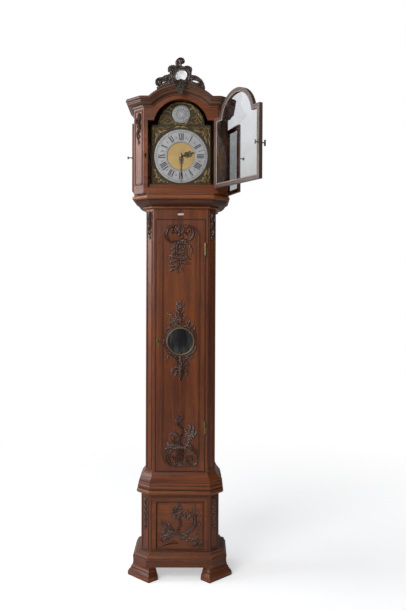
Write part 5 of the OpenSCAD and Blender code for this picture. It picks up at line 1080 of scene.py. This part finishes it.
def turned(profile, centre, n):
    """A profile (radius, way out towards the room) turned about an axis through centre: each of n rows of the grid
    is the profile at one angle."""
    a = np.linspace(0, 2 * math.pi, n, endpoint=False)[:, None]
    r, out = profile[None, :, 0], profile[None, :, 1]
    points = np.stack([r * np.cos(a), -out + 0 * a, r * np.sin(a)], -1) + np.asarray(centre, float)
    return points.reshape(-1, 3), [walls(n, len(profile), closed_rows=True)]


bezel_brass = metal("browned_brass", (0.30, 0.22, 0.15), (0.085, 0.055, 0.034), size=55, shine=0.75, carved=True)
bezel_line = thicken(np.concatenate([
    [[59.4, 0.1], [59.4, 4.2]], bow(61.2, 5.0, 1.8, 2.0, 180, 20, 8), bow(65.2, 3.6, 2.6, 3.2, 150, 0, 10),
    [[68.0, 2.0], [68.0, 0.1]]]), 1.0)
points, faces = turned(bezel_line, (0, door_y, around), 96)
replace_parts(piece("lenticle_bezel", points, faces, bezel_brass, "trunk_door", "brass", bend=30,
                  hollow=np.tile(np.clip(hollows(bezel_line), 0, 1), 96)), "lenticle_ring")
dark_glass, tree, skin, where = new_finish("dark_bullseye")
streak = noise(tree, placed(tree, where["Object"], (1, 1, 0.12), (0, 0.45, 0)), 45.0, 3.0, Roughness=0.6)
feed(tree, skin, {"Base Color": ramp(tree, streak, (0.48, (0.006, 0.006, 0.006)), (0.78, (0.055, 0.062, 0.058))),
                  "Roughness": ranged(tree, streak, 0.0, 1.0, 0.06, 0.22),
                  "Normal": bumped(tree, streak, 0.25, 0.002), "Transmission Weight": 0.15})
pane_r, crown, fall = 58.9, 5.2, 4.2
lens_r = np.linspace(0.02, pane_r, 20)
lens_line = np.concatenate([np.stack([lens_r, crown - fall * (lens_r / pane_r) ** 2], 1),
                            np.stack([lens_r[::-1], np.full(20, -1.8)], 1)])
points, faces = turned(lens_line, (0, door_y, around), 96)
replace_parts(piece("bullseye_glass", points, faces, dark_glass, "trunk_door", "lens", bend=30), "lenticle_glass")

# DIAL
# A brass dial plate with a matted gilt centre, a silvered chapter ring with black Roman hours, cast
# and chased scrolls in the corners and the arch, and a silvered boss engraved with a rosette.
gilt_field, tree, skin, where = new_finish("matted_gilt")
flat = place_node(tree, "VectorMath", {0: where["Object"], 1: (1, 0, 1)}, operation="MULTIPLY")
reach = place_node(tree, "VectorMath", {0: flat.outputs[0], 1: (0, 0, 2.005)}, operation="DISTANCE")
middle = ranged(tree, reach.outputs["Value"], 0.062, 0.068, 1.0, 0.0)
grit = noise(tree, where["Object"], 900.0, 2.0)
patch = noise(tree, where["Object"], 30.0, 5.0)
gold = mixed(tree, patch, (0.60, 0.43, 0.18, 1), (0.36, 0.235, 0.085, 1))
olive = mixed(tree, patch, (0.075, 0.055, 0.023, 1), (0.024, 0.017, 0.008, 1))
pitted = place_node(tree, "VectorMath", {0: mixed(tree, middle, olive, gold),
                                         3: ranged(tree, grit, 0.35, 0.6, 0.55, 1.0)}, operation="SCALE")
feed(tree, skin, {"Base Color": pitted.outputs[0], "Metallic": 0.55,
                  "Roughness": ranged(tree, patch, 0.0, 1.0, 0.38, 0.6), "Normal": bumped(tree, grit, 0.5, 0.0004)})
wear("dial_plate", gilt_field)

cast = metal("chased_brass", (0.235, 0.165, 0.068), (0.018, 0.012, 0.006), size=260, shine=0.55, carved=True)
span = ground(-137, 137, 1873, 2262, 1.15)
mid_z, arch_mid, boss_z, plate_y = 2005.0, 2152, 2203, -110.0
for sx in (-1, 1):
    for sz in (-1, 1):
        carve(span, "shell", [(133, 132, 120, 119, 102, 101, 4, 15, 4, 5, 5.5, 3, 7)], (sx, sz), (0, mid_z))
        carve(span, "scroll", [
            (128, 112, 133, 96, 127, 84, 131, 70, 134, 54, 3, 4.5, 4, 3.5, 2, 4, 5, 5, 4, 3),
            (112, 128, 96, 133, 84, 127, 70, 131, 54, 134, 3, 4.5, 4, 3.5, 2, 4, 5, 5, 4, 3)], (sx, sz), (0, mid_z))
        carve(span, "leaf", [
            (121, 104, 114, 94, 117, 82, 124, 78, 3, 5.5, 5, 2, 4, 5, 4.5, 3, 5),
            (104, 121, 94, 114, 82, 117, 78, 124, 3, 5.5, 5, 2, 4, 5, 4.5, 3, 5),
            (127, 84, 120, 72, 124, 62, 2.5, 4.5, 1.5, 4, 4.5, 2.5, 4),
            (84, 127, 72, 120, 62, 124, 2.5, 4.5, 1.5, 4, 4.5, 2.5, 4)], (sx, sz), (0, mid_z))
        knobs(span, [(x, z, 3, 5.5) for x, z in ((133, 118), (118, 133), (110, 108), (133, 80), (80, 133))],
              (sx, sz), (0, mid_z))
    carve(span, "scroll", [
        (4, 2, 24, 0, 44, 8, 62, 2, 80, 10, 98, 8, 4, 4.5, 5, 5, 5, 2, 4, 5, 5.5, 5, 5, 3),
        (48, 26, 62, 34, 78, 28, 84, 14, 72, 10, 66, 20, 3, 5, 5.5, 5, 4, 3, 4, 5, 5.5, 5, 5, 4),
        (52, 58, 68, 62, 80, 52, 78, 38, 68, 42, 3, 5, 5.5, 4, 3, 4, 5, 5.5, 5, 4)], (sx, 1), (0, arch_mid))
    carve(span, "leaf", [
        (46, 74, 56, 86, 46, 96, 32, 98, 3, 5, 5, 2, 4, 5, 5, 3, 5), (80, 50, 92, 42, 98, 26, 3, 6, 2, 4, 5, 3, 5),
        (66, 66, 78, 68, 84, 58, 3, 5, 1.5, 4, 5, 3, 4), (52, 82, 62, 78, 68, 70, 3, 5, 1.5, 4, 5, 3, 4),
        (86, 26, 92, 16, 102, 20, 2.5, 4.5, 1.5, 4, 4.5, 3, 4), (20, 5, 30, 16, 42, 18, 2.5, 4.5, 1.5, 4, 4.5, 3, 4),
        (0, 102, 12, 104, 28, 100, 3, 4, 2, 5, 5, 3, 5),
        (4, -10, 16, -8, 30, -14, 3, 4.5, 1.5, 4, 4.5, 3, 5)], (sx, 1), (0, arch_mid))
    knobs(span, [(x, z, 3, 5.5) for x, z in (
        (72, 24), (74, 48), (50, 90), (62, 6), (92, 34), (24, 2), (8, 98))], (sx, 1), (0, arch_mid))
# The cast work ends at the chapter ring, at the boss and at the plate's edge.
past_ring = np.hypot(span["X"], span["Z"] - mid_z) - 128.0
past_boss = np.hypot(span["X"], span["Z"] - boss_z) - 43.0
outer = np.where(span["Z"] < 2150, 136.5 - np.abs(span["X"]), 107.5 - np.hypot(span["X"], span["Z"] - arch_mid))
for limit in (outer, span["Z"] - 1874.5, past_ring, past_boss):
    span["edge"] = np.minimum(span["edge"], limit)
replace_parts(relief("chased_spandrels", span, (0, -110.4, 0), cast, "case", "dial_brass", sunk=0, back=-0.1, soft=0,
                   free=True), "spandrels")


def bars(marks, centre, y0, y1):
    """Closed four-sided bars in the dial's plane, between depths y0 and y1: a mark each of two end points, told from
    the centre, and a width."""
    ends = np.array([mark[:2] for mark in marks]) + [0, centre]
    wide = np.array([mark[2] for mark in marks])
    way = ends[:, 1] - ends[:, 0]
    way /= np.linalg.norm(way, axis=1, keepdims=True)
    off = np.stack([way[:, 1], -way[:, 0]], 1) * wide[:, None] / 2
    flat = np.stack([ends[:, 0] + off, ends[:, 1] + off, ends[:, 1] - off, ends[:, 0] - off], 1)
    both = np.stack([np.insert(flat, 1, y0, axis=2), np.insert(flat, 1, y1, axis=2)], 1).reshape(-1, 8, 3)
    box = np.array([[0, 1, 2, 3], [7, 6, 5, 4], [0, 4, 5, 1], [1, 5, 6, 2], [2, 6, 7, 3], [3, 7, 4, 0]])
    return both.reshape(-1, 3), (box[None] + 8 * np.arange(len(both))[:, None, None]).reshape(-1, 4)


def hoop(r, wide, y0, y1, centre):
    """A thin flat ring in the dial's plane."""
    line = np.array([[r - wide / 2, -y0], [r - wide / 2, -y1], [r + wide / 2, -y1], [r + wide / 2, -y0]])
    points, faces = turned(line, (0, 0, centre), 120)
    return points, faces[0]


def compass(degrees):
    """The ways outwards and clockwise at an angle from 12 o'clock: (sin, cos) and (cos, -sin) of it."""
    theta = math.radians(degrees)
    return np.array([math.sin(theta), math.cos(theta)]), np.array([math.cos(theta), -math.sin(theta)])


def joined(parts):
    """Several sets of points and quads as one."""
    counts = np.cumsum([0] + [len(p) for p, _ in parts])
    return np.concatenate([p for p, _ in parts]), [np.concatenate([f + c for (_, f), c in zip(parts, counts)])]


ring_line = thicken(np.concatenate([[[66.0, 0.0], [66.0, 1.0]], bow(67, 1.0, 1.0, 0.5, 180, 90, 4),
                                    bow(125.0, 1.0, 1.0, 0.5, 90, 0, 4), [[126.0, 0.0]]]), 4.0)
points, faces = turned(ring_line, (0, plate_y, mid_z), 144)
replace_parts(piece("engraved_chapter_ring", points, faces, silver, "case", "silvered", bend=25), "chapter_ring")
black_wax = oak("black_wax", (0.030, 0.028, 0.032), (0.016, 0.015, 0.018), figure=0.1, coat=0.3)
hours, thick, thin, serif = [], 4.4, 1.7, 1.1
r0, r1 = 76.5, 107.5
for hour, text in enumerate("I II III IIII V VI VII VIII IX X XI XII".split(), 1):
    out, way = compass(30 * hour)
    spans = [7.0 if c == "I" else 13.0 for c in text]
    t = -sum(spans) / 2
    for c, w in zip(text, spans):
        m = t + w / 2
        lines = {"I": [(m, r0, m, r1, thick)],
                 "V": [(m - 4.2, r1, m, r0, thick), (m + 4.2, r1, m, r0, thin)],
                 "X": [(m - 4.4, r1, m + 4.4, r0, thick), (m + 4.4, r1, m - 4.4, r0, thin)]}[c]
        lines += [(m - w / 2 + 0.4, r, m + w / 2 - 0.4, r, serif) for r in (r0, r1)]
        hours += [(x0 * way + a0 * out, x1 * way + a1 * out, width) for x0, a0, x1, a1, width in lines]
        t += w
for minute in range(60):
    out, way = compass(6 * minute)
    hours.append((out * 114.6, out * 119.4, 0.9 if minute % 5 else 2.4))
for quarter in range(24):
    out, way = compass(15 * quarter)
    hours.append((out * 68.0, out * 71.6, 0.9))
    if quarter % 2:
        hours += [(out * a0 - way * w0 / 2, out * a1 + way * w0 / 2, 1.4)
                  for a0, a1, w0 in ((84, 98, 0), (88, 88.1, 6), (92.4, 92.5, 4.4))]
rosette = []
for r in (24.0, 29.5):
    for k in range(16):
        tip = compass(22.5 * k)[0] * (r + 5)
        rosette += [(compass(22.5 * k + turn)[0] * (r - 11), tip, 0.8) for turn in (11.25, -11.25)]
ring_face, boss_face, bar_high, hoop_high = -111.3, -113.3, 0.36, 0.34
parts = [bars(hours, mid_z, ring_face, ring_face - bar_high), bars(rosette, boss_z, boss_face, boss_face - bar_high)]
parts += [hoop(r, w, ring_face, ring_face - hoop_high, mid_z)
          for r, w in ((67.6, 0.7), (72.0, 0.7), (114.2, 0.8), (119.8, 0.8))]
parts += [hoop(r, w, boss_face, boss_face - hoop_high, boss_z) for r, w in ((36.2, 0.9), (34.6, 0.5), (11.5, 0.8))]
points, faces = joined(parts)
piece("engraved_hours", points, faces, black_wax, "case", "silvered", bend=30)
boss_line = thicken(np.concatenate([[[0.02, 0.0], [0.02, 3.5]], bow(36.6, 2.6, 1.2, 0.9, 90, 10, 6),
                                    bow(40.2, 1.3, 1.5, 1.5, 160, 0, 10), [[41.5, 0.0]]]), 3.0)
points, faces = turned(boss_line, (0, plate_y, boss_z), 96)
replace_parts(piece("engraved_boss", points, faces, silver, "case", "silvered", bend=25), "arch_boss")

# HANDS
# Pierced hands sawn and filed from blued steel: the hour hand is a pair of scrolls with a leaf
# point, the minute hand a long needle. A brass collet and pin hold them.
hour_hand = ground(-15, 15, -10, 70, 0.45)
carve(hour_hand, "stem", [(0, 4, 0, 12, 0, 20, 3, 2.4, 2.4, 0.8, 0.8, 0.8)])
knobs(hour_hand, [(0, 0, 7.5, 0.9)])
for sx in (-1, 1):
    carve(hour_hand, "scroll", [
        (0, 15, 6, 18, 11, 26, 9.5, 35, 4, 38, 2.5, 33, 5.5, 29,
         1.6, 1.6, 1.6, 1.6, 1.6, 1.6, 1.6, 0.9, 0.9, 0.9, 0.9, 0.9, 0.9, 0.9),
        (0, 22, 3, 27, 1, 34, 0, 40, 1.2, 1.2, 1.2, 1.2, 0.9, 0.9, 0.9, 0.9),
        (3, 37, 9, 42, 7, 48, 0, 50, 1.4, 1.4, 1.4, 1.4, 0.9, 0.9, 0.9, 0.9),
        (9, 42, 12, 44, 12, 48, 1.4, 2, 0.8, 0.8, 0.8, 0.8)], (sx, 1))
carve(hour_hand, "stem", [(0, 36, 0, 48, 0, 56, 0, 67, 1.6, 2.2, 3.6, 0.7, 0.9, 0.9, 0.9, 0.8)])
out, way = compass(75)
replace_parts(relief("pierced_hour_hand", hour_hand, (0, -114.1, mid_z), blued, "hour", "blued", soft=0, free=True,
                   back=0.6, right=(way[0], 0, way[1]), up=(out[0], 0, out[1])), "hour_hand")
minute_hand = ground(-12, 12, -20, 124, 0.45)
carve(minute_hand, "stem", [(0, 2, 0, -9, 0, -17, 2.4, 1.8, 1.2, 0.8, 0.8, 0.8)])
knobs(minute_hand, [(0, 0, 6.5, 0.9)])
for sx in (-1, 1):
    carve(minute_hand, "scroll", [
        (1, 5, 7, 8, 8.5, 16, 4, 20, 3, 15, 1.5, 1.5, 1.5, 1.5, 1.5, 0.9, 0.9, 0.9, 0.9, 0.9),
        (2, 18, 5, 26, 2, 34, 0, 40, 1.4, 1.6, 1.4, 1.2, 0.9, 0.9, 0.9, 0.9)], (sx, 1))
carve(minute_hand, "stem", [(0, 4, 0, 36, 0, 80, 0, 121, 1.4, 2.1, 1.9, 0.7, 0.9, 0.9, 0.9, 0.8)])
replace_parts(relief("pierced_minute_hand", minute_hand, (0, -117.1, mid_z), blued, "minute", "blued", soft=0,
                   free=True, back=0.6, right=(-1, 0, 0), up=(0, 0, -1.0)), "minute_hand")
collet = np.concatenate([[[0.02, 0], [4.6, 0]], bow(3.0, 1.2, 1.8, 1.6, -20, 80, 8),
                         [[1.4, 3.2], [1.4, 4.4], [0.02, 4.6]]])
points, faces = turned(collet, (0, -118.0, mid_z), 32)
piece("hand_collet", points, faces, brass, "minute", "brass", bend=30)

# LABEL PLATE
# A small blank ivory label pinned on the frieze under the throat moulding.
ivory = oak("ivory_label", (0.90, 0.72, 0.60), (0.78, 0.60, 0.48), "X", figure=0.2, coat=0.1)
plate_mid, half_tall, face = 1731, 4.2, TRUNK[2]
plate_loop = round_box(14.5, plate_mid - half_tall, plate_mid + half_tall, 2.0, 5)
narrowed = (plate_loop - [0, plate_mid]) * [0.95, 0.85] + [0, plate_mid]
stations = np.stack([np.insert(loop, 1, face - rise, 1)
                     for loop, rise in ((plate_loop, 0.0), (plate_loop, 0.9), (narrowed, 1.4))])
n = len(plate_loop)
piece("blank_label", stations.reshape(-1, 3), [walls(3, n), np.array([np.arange(n)[::-1], np.arange(n) + 2 * n])],
      ivory, "case", "silvered", bend=30)
